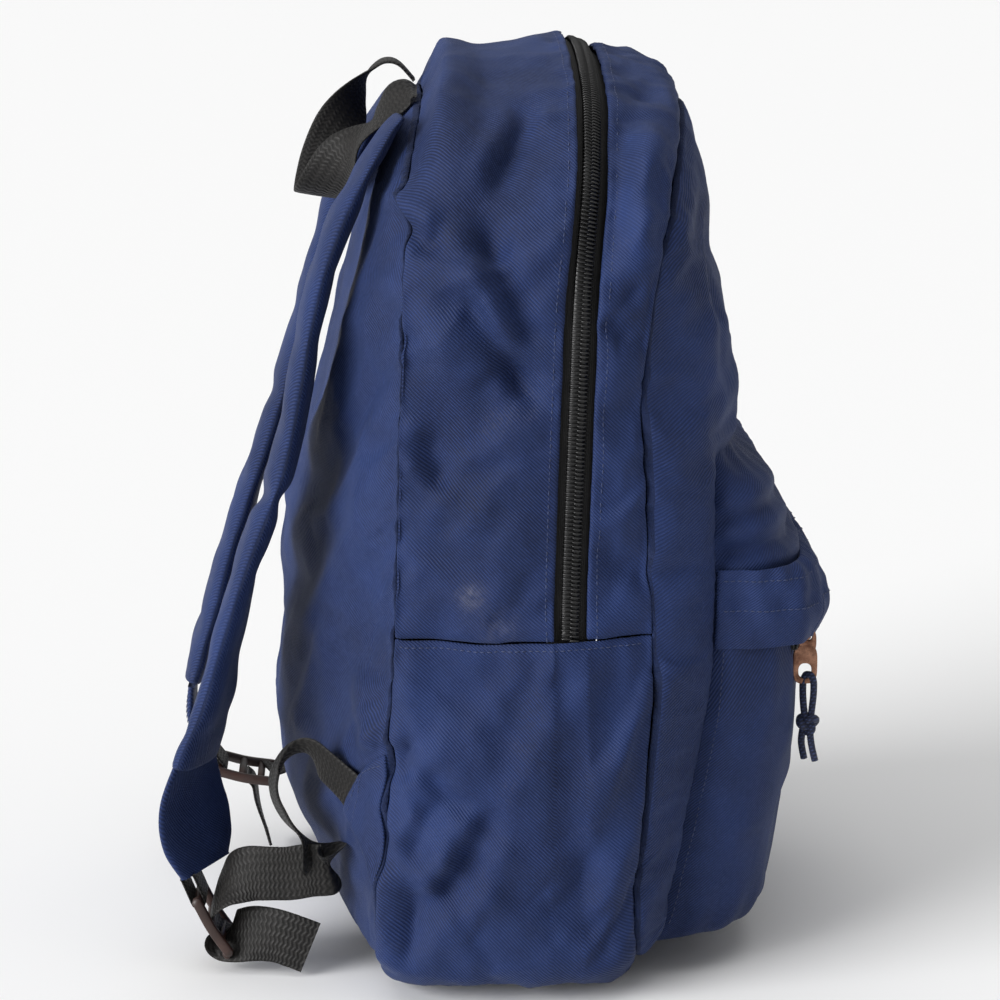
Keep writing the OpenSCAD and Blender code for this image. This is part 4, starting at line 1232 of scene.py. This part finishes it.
# ------------------------------------------------------------------ sliders and pulls
def bevel(ob, w, seg=3):
    m = ob.modifiers.new("bev", "BEVEL")
    m.width = w * 0.001
    m.segments = seg
    m.limit_method = "ANGLE"
    m.angle_limit = math.radians(35)
    m.harden_normals = False
    return ob


def prism(outline, t0, t1, axis="x"):
    """A plate from a closed outline of (a, b) points, between two depths."""
    n = len(outline)
    V = [(t0, a, b) for a, b in outline] + [(t1, a, b) for a, b in outline]
    F = [tuple(range(n))[::-1], tuple(range(n, 2 * n))]
    F += [(i, (i + 1) % n, n + (i + 1) % n, n + i) for i in range(n)]
    return np.array(V, float), F


def merge(parts):
    V, F = [], []
    for v, f in parts:
        b = sum(len(x) for x in V)
        V.append(np.asarray(v, float))
        F += [tuple(i + b for i in q) for q in f]
    return np.vstack(V), F


def boxm(x0, x1, y0, y1, z0, z1):
    V = [(x, y, z) for x in (x0, x1) for y in (y0, y1) for z in (z0, z1)]
    F = [(0, 1, 3, 2), (4, 6, 7, 5), (0, 4, 5, 1), (2, 3, 7, 6), (0, 2, 6, 4), (1, 5, 7, 3)]
    return np.array(V, float), F


def ring_prism(outer, inner, t0, t1):
    """A plate with one hole; outer and inner have the same number of points."""
    n = len(outer)
    V = [(t0, a, b) for a, b in outer] + [(t0, a, b) for a, b in inner] + [(t1, a, b) for a, b in outer] + [(t1, a, b) for a, b in inner]
    F = []
    for i in range(n):
        j = (i + 1) % n
        F += [(i, n + i, n + j, j), (2 * n + i, 2 * n + j, 3 * n + j, 3 * n + i), (i, j, 2 * n + j, 2 * n + i), (n + i, 3 * n + i, 3 * n + j, n + j)]
    return np.array(V, float), F


def slider_mesh():
    """The zip slider in its own frame: along z, facing +x."""
    out = []
    w, h = 5.75, 7.5
    top = []
    for k in range(40):
        a = 2 * math.pi * k / 40
        ca, sa = math.cos(a), math.sin(a)
        y = abs(ca) ** 0.55 * math.copysign(w, ca)
        z = abs(sa) ** 0.55 * math.copysign(h, sa)
        y *= 0.78 + 0.22 * sstep(-6, 3, z)
        top.append((y, z))
    out.append(prism(top, 0.75, 2.35))
    for s in (-1, 1):
        out.append(boxm(-1.9, 1.2, s * 4.9 - 0.5, s * 4.9 + 0.5, -5.2, 5.6))
    # bridge that holds the pull
    pts = [(2.2, -4.6), (4.2, -4.6), (6.0, -3.4), (6.9, -1.2), (6.9, 1.2), (6.0, 3.4), (4.2, 4.6), (2.2, 4.6)]
    inn = [(2.2, -2.9), (3.6, -2.9), (4.4, -2.3), (4.9, -1.0), (4.9, 1.0), (4.4, 2.3), (3.6, 2.9), (2.2, 2.9)]
    V, F = [], []
    n = len(pts)
    for yy in (-1.4, 1.4):
        V += [(x, yy, z) for x, z in pts] + [(x, yy, z) for x, z in inn]
    for i in range(n - 1):
        F += [(i, i + 1, n + i + 1, n + i), (2 * n + i, 3 * n + i, 3 * n + i + 1, 2 * n + i + 1),
              (i, 2 * n + i, 2 * n + i + 1, i + 1), (n + i, n + i + 1, 3 * n + i + 1, 3 * n + i)]
    F += [(0, n, 3 * n, 2 * n), (n - 1, 3 * n - 1, 4 * n - 1, 2 * n - 1)]
    out.append((np.array(V, float), F))
    return merge(out)


def rot(axis, deg):
    return np.array(Matrix.Rotation(math.radians(deg), 3, axis))


def metal(name, V, F, R, at, body, nodes, bw=0.35):
    V = np.asarray(V, float) @ np.asarray(R).T + np.asarray(at, float)
    ob = make(name, V, F, copper)
    ob.data.validate()
    bpy.context.view_layer.objects.active = ob
    import bmesh
    bm = bmesh.new()
    bm.from_mesh(ob.data)
    bmesh.ops.recalc_face_normals(bm, faces=bm.faces)
    bm.to_mesh(ob.data)
    bm.free()
    bevel(ob, bw)
    return done(ob, body, nodes)


SV, SF = slider_mesh()
tilt = -math.degrees(math.atan(0.11 * 10 / 8))
metal("vis_main_slider", SV, SF, rot("Z", tilt), (148.1, -8, 176), "main_slider", ["main_slider"])
metal("vis_pocket_slider", SV, SF, rot("X", -90) @ rot("Y", 90), (-84, -108, 150), "pocket_slider", ["pocket_slider"])


def oval(hw_, z0, z1, n=40, ex=2.4):
    zc_, hz = (z0 + z1) / 2, abs(z1 - z0) / 2
    out = []
    for k in range(n):
        a = 2 * math.pi * k / n
        ca, sa = math.cos(a), math.sin(a)
        out.append((math.copysign(abs(ca) ** (2 / ex) * hw_, ca), zc_ + math.copysign(abs(sa) ** (2 / ex) * hz, sa)))
    return out


# main pull: a flat plate on a wire eye
pl = []
pl.append(ring_prism(oval(4.9, -8.5, -28, ex=3), oval(2.6, -19.5, -26, ex=2.2), -0.75, 0.75))
pl.append(ring_prism(oval(4.6, 1.0, -10.5, ex=3), oval(3.1, -0.6, -8.3, ex=2.6), -0.7, 0.7))
PV, PF = merge(pl)
R = rot("Z", tilt) @ rot("Y", -10)
base_at = np.array([148.1, -8, 176]) + rot("Z", tilt) @ np.array([3.75, 0, 0])
metal("vis_main_puller", PV, PF, R, base_at, "main_pull", ["main_puller"], 0.3)
# pocket pull: one plate with a round eye at the top and a large arched hole below
pl = [ring_prism(oval(3.6, 3.2, -9.0, ex=2.6), oval(1.75, 1.7, -2.4, ex=2.2), -0.75, 0.75)]
pl.append(ring_prism([(a + 1.3, b) for a, b in oval(5.5, -4.6, -22.4, ex=3.6)], [(a + 1.3, b) for a, b in oval(3.0, -13.0, -20.0, ex=2.4)], -0.8, 0.8))
PV, PF = merge(pl)
metal("vis_pocket_puller", PV, PF, rot("Z", 0), (-84, -113.9, 150), "pocket_pull", ["pocket_puller"], 0.3)


def knot_mesh(name, at, body, r=1.8, size=3.6, up=(0, 0, 1)):
    """A small overhand knot."""
    t = np.linspace(0, 2 * math.pi, 72, endpoint=False)
    p = np.stack([np.sin(t) + 2 * np.sin(2 * t), np.cos(t) - 2 * np.cos(2 * t), -1.1 * np.sin(3 * t)], 1)
    p = p * size / 2.6
    p = np.stack([p[:, 2] * 1.15, p[:, 0], p[:, 1] * 0.95], 1) + np.asarray(at, float)
    V, F, W = tube(name, p, r, cord_m, 8, closed=True)
    ob = make(name, V, F, cord_m, W)
    return done(ob, body, apply=False)


def pull_cords(prefix, at, R, l, hz, body, node, tail_dirs):
    """Cord doubled through the pull's hole, one knot, two tails; two declared cords meet in the hole."""
    R = np.asarray(R)
    at = np.asarray(at, float)
    knot_at = at + R @ np.array([0, 0, hz - 22.5])
    kn = knot_mesh(prefix + "_knot", knot_at, body)
    obs = []
    for k, (sx, tail) in enumerate(zip((-1, 1), tail_dirs)):
        loc = [(0, 0, hz + 0.3), (sx * 1.3, 0, hz - 0.1), (sx * 2.3, sx * 0.5, hz - 3), (sx * 2.2, sx * 0.9, hz - 9), (sx * 1.7, sx * 0.8, hz - 15), (sx * 1.2, sx * 0.4, hz - 21)]
        loc += [tuple(np.array([sx * 1.2, sx * 0.4, hz - 23.5]) + np.array(t) * 1.0) for t in tail]
        p = catmull(loc, 5)
        p = p @ R.T + at
        tp = np.ones(len(p))
        V, F, W = tube("c", p, 1.6, cord_m, 10, taper=tp)
        ob = make("%s_cord_%d" % (prefix, k + 1), V, F, cord_m, W)
        done(ob, body, [node], apply=False)
        obs.append(ob)
    return obs


# the doubled cord's strands side by side along the plate's face
pull_cords("pocket_pull", (-84, -114.3, 150), rot("Z", 62), 21, -18.6, "pocket_pull", "pocket_cord",
           [[(-0.6, 1.6, -3.5), (-2.2, 3.4, -9), (-3.6, 3.0, -15)], [(1.4, -0.6, -3.5), (2.0, -1.6, -9), (1.0, -2.6, -16)]])
pull_cords("main_pull", base_at, R, 28, -25.2, "main_pull", "main_cord",
           [[(-0.4, 0.2, -3.5), (-2.2, 1.0, -9), (-4.2, 1.8, -15)], [(-0.6, 1.6, -3.5), (-2.4, 3.6, -9), (-4.4, 5.4, -15.5)]])

# ------------------------------------------------------------------ haul loop
ctrl = [[[-36, 59, 388], [1, 0, 0.1], 25], [[-36, 63, 388.5], [0.9, 0.25, 0.3], 24], [[-36, 68.5, 385], [0.86, 0.35, 0.38], 23], [[-35, 74.5, 378.5], [0.95, 0.2, 0.2], 23],
        [[-33, 80, 371.5], [1, 0.05, 0.0], 24], [[-29, 86.5, 364.5], [0.93, 0.35, 0.05], 25], [[-22.5, 93, 356], [0.62, 0.76, 0.15], 25], [[-15, 98, 347], [0.25, 0.95, 0.15], 25], [[-8, 101.5, 341], [0.08, 1, 0.14], 25],
        [[0, 102.5, 338.5], [0, 1, 0.14], 25], [[8, 102, 343], [-0.06, 1, 0.1], 25], [[15, 99.5, 353], [-0.12, 1, 0.05], 25], [[22, 95, 364], [-0.3, 0.95, 0.0], 25], [[28, 89.5, 374], [-0.62, 0.76, 0.1], 25],
        [[32, 85, 383], [-0.9, 0.42, 0.1], 25], [[34.5, 80, 391], [-1, 0.08, 0], 25], [[36, 73, 396.5], [-1, 0, 0], 25], [[36, 66, 395.5], [-1, 0, 0], 25], [[36, 59, 388], [-1, 0, 0], 25]]
ob, _ = ribbon("vis_haul_loop", ctrl, 1.5, webbing, n=6, ripple=0.35, seed=3)
subsurf(ob, 1)
done(ob, "haul_loop", ["haul_loop"], None)

# ------------------------------------------------------------------ shoulder straps
strap_w = 58.0
lineL = [[[-72, 66, 381], [1, 0, 0], 0.80, 3.5], [[-73, 72, 374], [1, 0, 0], 0.84, 6], [[-76, 83, 357], [1, 0, 0], 0.97, 9], [[-79, 94, 333], [1, 0, 0], 1, 11.5], [[-80, 104, 302], [1, 0, 0], 1, 12],
         [[-80, 118, 235], [1, 0, 0], 1, 12], [[-80, 130, 200], [1, -0.03, 0], 1, 12], [[-80, 142, 162], [1, -0.08, 0], 1, 12], [[-80.5, 152, 122], [0.97, -0.2, 0.03], 1, 12],
         [[-81, 157, 104], [0.96, -0.27, 0.05], 1.0, 11.5], [[-81.5, 160.5, 93], [0.95, -0.3, 0.06], 1.0, 10]]
lineR = [[[72, 66, 381], [1, 0, 0], 0.80, 3.5], [[73, 72, 374], [1, 0, 0], 0.84, 6], [[76, 83, 357], [1, 0, 0], 0.97, 9], [[79, 94, 333], [1, 0, 0], 1, 11.5], [[80, 104, 302], [1, 0, 0], 1, 12],
         [[80, 120, 245], [1, 0, 0], 1, 12], [[79, 133, 205], [1, 0, 0], 1, 12], [[78, 147, 165], [1, 0, 0], 1, 12], [[77, 160, 122], [1, 0, 0], 1, 12],
         [[76.5, 164.5, 104], [1, 0, 0], 1.0, 11.5], [[76, 168.5, 92], [1, 0, 0], 1.0, 9.5]]
taperL = [[[-81.5, 159, 98], [0.94, -0.33, 0.08], 0.86, 5], [[-82.5, 161.2, 88], [0.9, -0.42, 0.12], 0.88, 5], [[-83.5, 162, 76], [0.84, -0.52, 0.18], 0.87, 4.5], [[-84.5, 161, 65], [0.79, -0.56, 0.25], 0.82, 4], [[-85, 158.6, 55], [0.77, -0.56, 0.3], 0.72, 3.4], [[-85.2, 156.6, 46], [0.79, -0.5, 0.3], 0.58, 3.0]]
taperR = [[[76, 168, 93], [1, 0, 0], 0.99, 5.5], [[76, 169.5, 80], [1, 0, 0], 0.92, 4.5], [[76, 168.5, 70], [1, 0, 0], 0.80, 4], [[76, 166, 62], [1, 0, 0], 0.66, 3.4], [[76, 162, 53], [1, 0, 0], 0.50, 3.0]]


def strap(name, line, side, body, nodes, pinches, blend, seed):
    c = catmull([q[0] for q in line], 12)
    d = catmull([q[1] for q in line], 12)
    w = catmull([q[2] for q in line], 12)[:, 0]
    t = catmull([q[3] for q in line], 12)[:, 0]
    rs = resample(np.hstack([c, d, w[:, None], t[:, None]]), int(arclen(c)[-1] / 3.0))
    c, d, w, t = rs[:, :3], rs[:, 3:6], rs[:, 6], rs[:, 7]
    tg = unit(np.gradient(c, axis=0))
    wd = unit(d - tg * (d * tg).sum(1)[:, None])
    nn = np.cross(tg, wd)
    if nn[len(nn) // 2][1] < 0:
        nn = -nn
    s = arclen(c)
    K = 34
    V, W = [], []
    for i in range(len(c)):
        hwid = w[i] * strap_w / 2
        th_ = t[i] / 2
        z = c[i][2]
        for k in range(K):
            a = 2 * math.pi * k / K
            ca, sa = math.cos(a), math.sin(a)
            x = math.copysign(abs(ca) ** 0.62, ca)
            y = math.copysign(abs(sa) ** 0.85, sa)
            hh_ = th_
            # soft creases across the pad
            for (zp, dep, wid, slant) in pinches:
                q = (z + slant * x - zp) / wid
                hh_ *= 1 - dep * math.exp(-q * q)
                if y > 0:
                    hh_ += 0.10 * t[i] * dep * math.exp(-((abs(q) - 1.7) / 0.8) ** 2)
            e = vnoise([[x * 18, s[i], (1 if y > 0 else -1) * 20 + seed]], 16, seed)[0] * 0.9 + vnoise([[x * 18, s[i], y * 6]], 8, seed + 3)[0] * 0.35
            edge = vnoise([[s[i], x * 3, 5]], 12, seed + 5)[0] * 1.1
            V.append(c[i] + wd[i] * (x * (hwid + edge * abs(x) ** 3)) + nn[i] * (y * (hh_ + e * (1 - abs(x) ** 4)) + 0.9 * vnoise([[s[i], x * 4, 40]], 30, seed + 9)[0]))
            W.append((s[i], x * hwid + (0 if y > 0 else 100), 0))
    F = grid_faces(len(c), K, closed_c=True)
    m = (len(c) - 1) * K
    F += [tuple(range(K))[::-1], tuple(range(m, m + K))]
    ob = make(name, V, F, twill, W)
    import bmesh
    bm = bmesh.new(); bm.from_mesh(ob.data)
    bmesh.ops.recalc_face_normals(bm, faces=bm.faces)
    bm.to_mesh(ob.data); bm.free()
    pass
    subsurf(ob, 1)
    done(ob, body, nodes, blend)
    return ob, (c, wd, nn, w, t, s)


def strap_piping(name, data, body, blend, off=0.985):
    """The sewn edge seam along both sides of the pad."""
    c, wd, nn, w, t, s = data
    for sd, nm in ((-1, "a"), (1, "b")):
        p = c + wd * (sd * (w * strap_w / 2 - 5.0))[:, None] + nn * (t * 0.5 * 0.80)[:, None]
        stitches(name + nm, p, nn, thread, body, pitch=3.0, length=2.1, r=0.26, lift=0.2, blend=blend)


pinL = [(352, 0.22, 6, 3), (318, 0.12, 7, -4), (283, 0.16, 7, 5), (250, 0.1, 8, -3), (214, 0.5, 5, 6), (178, 0.14, 8, -5), (140, 0.12, 8, 4), (112, 0.24, 6, -3)]
pinR = [(350, 0.22, 6, 3), (310, 0.14, 7, 4), (270, 0.16, 7, -5), (232, 0.3, 6, 3), (196, 0.16, 7, -6), (160, 0.14, 8, 5), (120, 0.2, 7, -4)]
bl_L = ("bag", "strap_left", (-0.073, 0.066, 0.384), (-0.076, 0.083, 0.357))
bl_R = ("bag", "strap_right", (0.073, 0.066, 0.384), (0.076, 0.083, 0.357))
sL, dL = strap("vis_strap_left", lineL, -1, None, ["strap_face_left", "strap_foam_left", "strap_lining_left"], pinL, bl_L, 3)
sR, dR = strap("vis_strap_right", lineR, 1, None, ["strap_face_right", "strap_foam_right", "strap_lining_right"], pinR, bl_R, 23)
for nm, tp, body in (("left", taperL, "strap_left"), ("right", taperR, "strap_right")):
    ctrl = [[q[0], q[1], q[2] * strap_w] for q in tp]
    ob, (c, wd, nn, s) = ribbon("vis_strap_taper_" + nm, ctrl, 3.4, twill, n=5, ripple=0.6, seed=11)
    subsurf(ob, 1)
    done(ob, body)
    if nn[len(nn) // 2][1] < 0:
        nn = -nn
    wdt = catmull([q[2] * strap_w for q in tp], 5)[:, 0]
    for sd, k in ((-1, "a"), (1, "b")):
        for o in (4.4, 7.2):
            p = c + wd * (sd * (wdt / 2 - o))[:, None] + nn * 1.8
            stitches("taper_stitch_%s_%s%d" % (nm, k, int(o)), p[1:-1], nn[1:-1], thread, body, pitch=2.8, length=2.0, r=0.25, lift=0.1)
    # bar tack across the taper's end
    i = len(c) - 4
    for q in range(3):
        p = np.array([c[i - q] + wd[i - q] * x + nn[i - q] * 1.9 for x in np.linspace(-wdt[i] / 2 + 3, wdt[i] / 2 - 3, 12)])
        stitches("tack_%s_%d" % (nm, q), p, np.tile(nn[i], (12, 1)), thread, body, pitch=2.4, length=1.9, r=0.25, lift=0.1)


# ------------------------------------------------------------------ ladder locks
def rounded_bar(x0, x1, y, z, ry, rz, n=16):
    V, F = [], []
    xs_ = [x0, x0 + 0.4, x1 - 0.4, x1]
    for i, x in enumerate(xs_):
        k = 0.8 if i in (0, 3) else 1
        for j in range(n):
            a = 2 * math.pi * j / n
            V.append((x, y + math.cos(a) * ry * k, z + math.sin(a) * rz * k))
    F += grid_faces(4, n, closed_c=True)
    F += [tuple(range(n))[::-1], tuple(range(3 * n, 4 * n))]
    return np.array(V, float), F


def rail(x, sgn_):
    """A side rail: a bowed bar with rounded ends."""
    zs_ = np.linspace(3.4, -28.2, 20)
    K = 12
    V, F = [], []
    for i, z in enumerate(zs_):
        t = (z + 28.2) / 31.6
        e = min(1, math.sqrt(max(0.0, 1 - (max(0, abs(t - 0.5) - 0.42) / 0.08) ** 2)) + 0.35)
        bow = 1.6 * math.sin(math.pi * (1 - t)) ** 2
        yo = bow * 0.5 - 0.3
        for k in range(K):
            a = 2 * math.pi * k / K
            V.append((x + math.copysign(abs(math.cos(a)) ** 0.6, math.cos(a)) * 1.95 * e, yo + math.copysign(abs(math.sin(a)) ** 0.6, math.sin(a)) * 2.3 * e, z))
    F += grid_faces(len(zs_), K, closed_c=True)
    m = (len(zs_) - 1) * K
    F += [tuple(range(K)), tuple(range(m + K - 1, m - 1, -1))]
    return np.array(V, float), F


def lock(name, at, lean, body, node):
    parts = [rail(-15.0, -1), rail(15.0, 1)]
    parts.append(rounded_bar(-14.2, 14.2, 0, 0, 1.8, 1.8))
    parts.append(rounded_bar(-14.2, 14.2, 0.4, -11.3, 1.9, 2.0))
    parts.append(rounded_bar(-14.2, 14.2, 0.2, -20.5, 1.7, 1.8))
    parts.append(rounded_bar(-14.6, 14.6, 1.6, -27.0, 1.4, 2.2))
    V, F = merge(parts)
    V = V @ rot("X", lean).T + np.asarray(at, float)
    ob = make(name, V, F, acetal)
    import bmesh
    bm = bmesh.new(); bm.from_mesh(ob.data)
    bmesh.ops.recalc_face_normals(bm, faces=bm.faces)
    bm.to_mesh(ob.data); bm.free()
    return done(ob, body, [node])


lock("vis_ladder_lock_left", (-85, 159.5, 33), -30, "buckle_left", "ladder_lock_left")
lock("vis_ladder_lock_right", (76, 156, 46), -78, "buckle_right", "ladder_lock_right")


def bar_loop(name, at, a0, reach, body, node):
    r = 1.8 + 0.35 + 0.7
    at = np.asarray(at, float)
    d = np.array([0, -math.sin(math.radians(a0)), math.cos(math.radians(a0))])

    def pt(a, k=0):
        return at + np.array([0, r * math.cos(math.radians(a)), r * math.sin(math.radians(a))]) + d * k
    pts = [pt(a0, reach), pt(a0, reach * 0.5), pt(a0)] + [pt(a0 - 30 * k) for k in range(1, 6)] + [pt(a0 - 180), pt(a0 - 180, reach * 0.5), pt(a0 - 180, reach)]
    ctrl = [[p, [1, 0, 0], 24] for p in pts]
    ob, _ = ribbon(name, ctrl, 1.3, webbing, n=3, ripple=0.0)
    subsurf(ob, 1)
    return done(ob, body, [node])


bar_loop("vis_strap_loop_left", (-85, 159.5, 33), -22, 12.5, "strap_left", "strap_loop_left")
bar_loop("vis_strap_loop_right", (76, 156, 46), -36, 10.5, "strap_right", "strap_loop_right")


# ------------------------------------------------------------------ lower webbing
BACKV = V1[RID == 0]


def on_back(x, z, d):
    r2 = (BACKV[:, 0] - x) ** 2 + (BACKV[:, 2] - z) ** 2
    k = np.argsort(r2)[:5]
    w = 1 / (r2[k] + 1.5)
    return np.array([x, float((BACKV[k, 1] * w).sum() / w.sum()) + d, z])


for s_, nm in ((-1, "left"), (1, "right")):
    nu, nv = 9, 14
    V, W = [], []
    a0, a1 = np.array([139.4, 114.0]), np.array([139.4, 48.0])
    b0, b1 = np.array([127.0, 101.0]), np.array([111.0, 79.0])
    for i in range(nu):
        t = i / (nu - 1)
        for k in range(nv):
            q = k / (nv - 1)
            p = (a0 * (1 - q) + a1 * q) * (1 - t) + (b0 * (1 - q) + b1 * q) * t
            d = 0.6 + 3.0 * sstep(0, 0.3, t) + (0.4 if 0 < k < nv - 1 else -0.8)
            V.append(on_back(s_ * p[0], p[1], d))
            W.append((V[-1][2], V[-1][0]))
    V = np.array(V)
    F = grid_faces(nu, nv, flip=s_ > 0)
    Nt = vnormals(V, F)
    if Nt[:, 1].mean() < 0:
        F = [f[::-1] for f in F]
        Nt = -Nt
    ob = make("vis_anchor_tab_" + nm, V, F, twill, W)
    solidify(ob, 1.8)
    subsurf(ob, 1)
    done(ob, "bag", ["anchor_tab_" + nm])
    Vg, Ngt = V.reshape(nu, nv, 3), Nt.reshape(nu, nv, 3)
    for k, i in enumerate((nu - 2, nu - 3)):
        stitches("tab_stitch_%s_%d" % (nm, k), Vg[i, 1:-1], Ngt[i, 1:-1], thread, "bag", pitch=2.8, length=2.0, r=0.25, lift=0.1)
    stitches("tab_stitch_%s_top" % nm, Vg[1:-1, 1], Ngt[1:-1, 1], thread, "bag", pitch=2.8, length=2.0, r=0.25, lift=0.1)

webL = [[list(on_back(-129, 77, 0.4)), [0.72, 0.42, -0.53], 24], [list(on_back(-123.5, 84, 0.9)), [0.72, 0.42, -0.53], 25], [list(on_back(-117, 92, 2.2)), [0.74, 0.42, -0.5], 25], [[-109.5, 102.5, 100], [0.78, 0.4, -0.42], 25], [[-101.5, 110.5, 104], [0.9, 0.2, -0.28], 25],
        [[-95, 119.5, 100], [1, 0.0, 0], 25], [[-93, 124.5, 90], [1, 0.12, 0], 25], [[-92.5, 124.5, 80], [0.97, 0.25, 0.05], 25], [[-94, 120, 71], [0.9, 0.4, 0.12], 25],
        [[-98, 111, 62], [0.75, 0.5, 0.35], 25], [[-102.5, 103, 55], [0.5, 0.45, 0.7], 25], [[-105, 100.8, 51.5], [0.25, 0.2, 0.95], 25], [[-106.2, 102.6, 50.5], [-0.05, 0.05, 1], 25],
        [[-105, 110, 50], [0.0, 0.0, 1], 25], [[-103, 119, 48], [0.02, -0.04, 1], 25], [[-101, 128, 47.5], [0.06, -0.06, 1], 25], [[-98, 137, 46.5], [0.2, -0.12, 0.97], 25], [[-94, 145, 42], [0.45, -0.2, 0.85], 25], [[-89.5, 151, 34], [0.8, -0.1, 0.5], 25],
        [[-86, 154, 25], [1, 0, 0.1], 25]]
ob, _ = ribbon("vis_lower_web_left", webL, 1.5, webbing, n=6, ripple=0.3, seed=51)
subsurf(ob, 1)
done(ob, None, ["lower_web_left", "web_band_left"], ("bag", "strap_left", (-0.1, 0.098, 0.098), (-0.095, 0.143, 0.030)))
tailL = [[[-85.2, 153, 23.0], [1, 0, 0], 24], [[-85.5, 151, 17], [0.95, 0, 0.25], 24.5], [[-88, 147.5, 14.5], [0.75, -0.05, 0.62], 25], [[-93, 142, 16], [0.45, -0.12, 0.88], 25], [[-98, 134, 18.5], [0.16, -0.22, 0.96], 25],
         [[-101.5, 125, 18.5], [0.02, -0.3, 0.95], 25], [[-103.5, 116, 16], [0.0, -0.38, 0.92], 25], [[-104.2, 109.5, 13.5], [0, -0.4, 0.92], 25]]
ob, _ = ribbon("vis_web_tail_left", tailL, 1.5, webbing, n=6, ripple=0.3, seed=57)
subsurf(ob, 1)
done(ob, "buckle_left", ["web_tail_left"])

webR = [[[109, 103, 86], [0.73, -0.5, 0.5], 25], [[104, 109, 82], [0.78, -0.45, 0.42], 25], [[98, 115, 72], [0.85, -0.35, 0.25], 25], [[93, 118, 60], [0.92, -0.2, 0.1], 25], [[88, 119.5, 52], [0.97, -0.1, 0], 25],
        [[83, 122, 46.5], [1, 0, 0], 25], [[79, 127, 43.5], [1, 0, 0], 25], [[77, 133, 43.2], [1, 0, 0], 25]]
for q in webR:
    q[1] = list(q[1])
ob, _ = ribbon("vis_lower_web_right", webR, 1.5, webbing, n=6, ripple=0.3, seed=61)
subsurf(ob, 1)
done(ob, None, ["lower_web_right", "web_band_right"], ("bag", "strap_right", (0.1, 0.108, 0.088), (0.08, 0.130, 0.044)))
tailR = [[[76, 143, 41], [1, 0, 0], 24.5], [[76, 139.8, 37.5], [1, 0, 0], 25], [[76, 138.5, 30], [1, 0, 0], 25], [[77, 136, 18], [1, 0.1, 0], 25], [[78, 133, 7], [1, 0.1, 0], 25]]
ob, _ = ribbon("vis_web_tail_right", tailR, 1.5, webbing, n=6, ripple=0.3, seed=67)
subsurf(ob, 1)
done(ob, "buckle_right", ["web_tail_right"])

# ------------------------------------------------------------------ floor, light, world
me = bpy.data.meshes.new("floor")
me.from_pydata([(-40, -40, -0.0003), (40, -40, -0.0003), (40, 40, -0.0003), (-40, 40, -0.0003)], [], [(0, 1, 2, 3)])
floor = bpy.data.objects.new("floor", me)
scene.collection.objects.link(floor)
fm = bpy.data.materials.new("floor")
fm.use_nodes = True
fb_ = fm.node_tree.nodes["Principled BSDF"]
fb_.inputs["Base Color"].default_value = (0.90, 0.90, 0.90, 1)
fb_.inputs["Roughness"].default_value = 0.9
fb_.inputs["Specular IOR Level"].default_value = 0.1
me.materials.append(fm)

world = bpy.data.worlds.new("w")
scene.world = world
world.use_nodes = True
bg = world.node_tree.nodes["Background"]
bg.inputs[0].default_value = (1, 1, 1, 1)
bg.inputs[1].default_value = 0.37


def area(name, loc, size, power, aim=(0, 0, 0.2), col=(1, 1, 1)):
    d = bpy.data.lights.new(name, "AREA")
    d.shape = "SQUARE"
    d.size = size
    d.energy = power
    d.color = col
    o = bpy.data.objects.new(name, d)
    scene.collection.objects.link(o)
    o.location = loc
    o.rotation_euler = (Vector(aim) - Vector(loc)).to_track_quat("-Z", "Y").to_euler()
    return o


def sun(name, direction, power, angle):
    d = bpy.data.lights.new(name, "SUN")
    d.energy = power
    d.angle = math.radians(angle)
    o = bpy.data.objects.new(name, d)
    scene.collection.objects.link(o)
    o.rotation_euler = Vector(direction).to_track_quat("Z", "Y").to_euler()
    return o


sun("key", (-0.52, 0.80, 0.30), 4.2, 40)
sun("soft", (-0.1, 0.1, 1.0), 0.95, 60)

scene.view_settings.view_transform = "Standard"
scene.view_settings.look = "None"
scene.view_settings.exposure = 0
scene.view_settings.gamma = 1
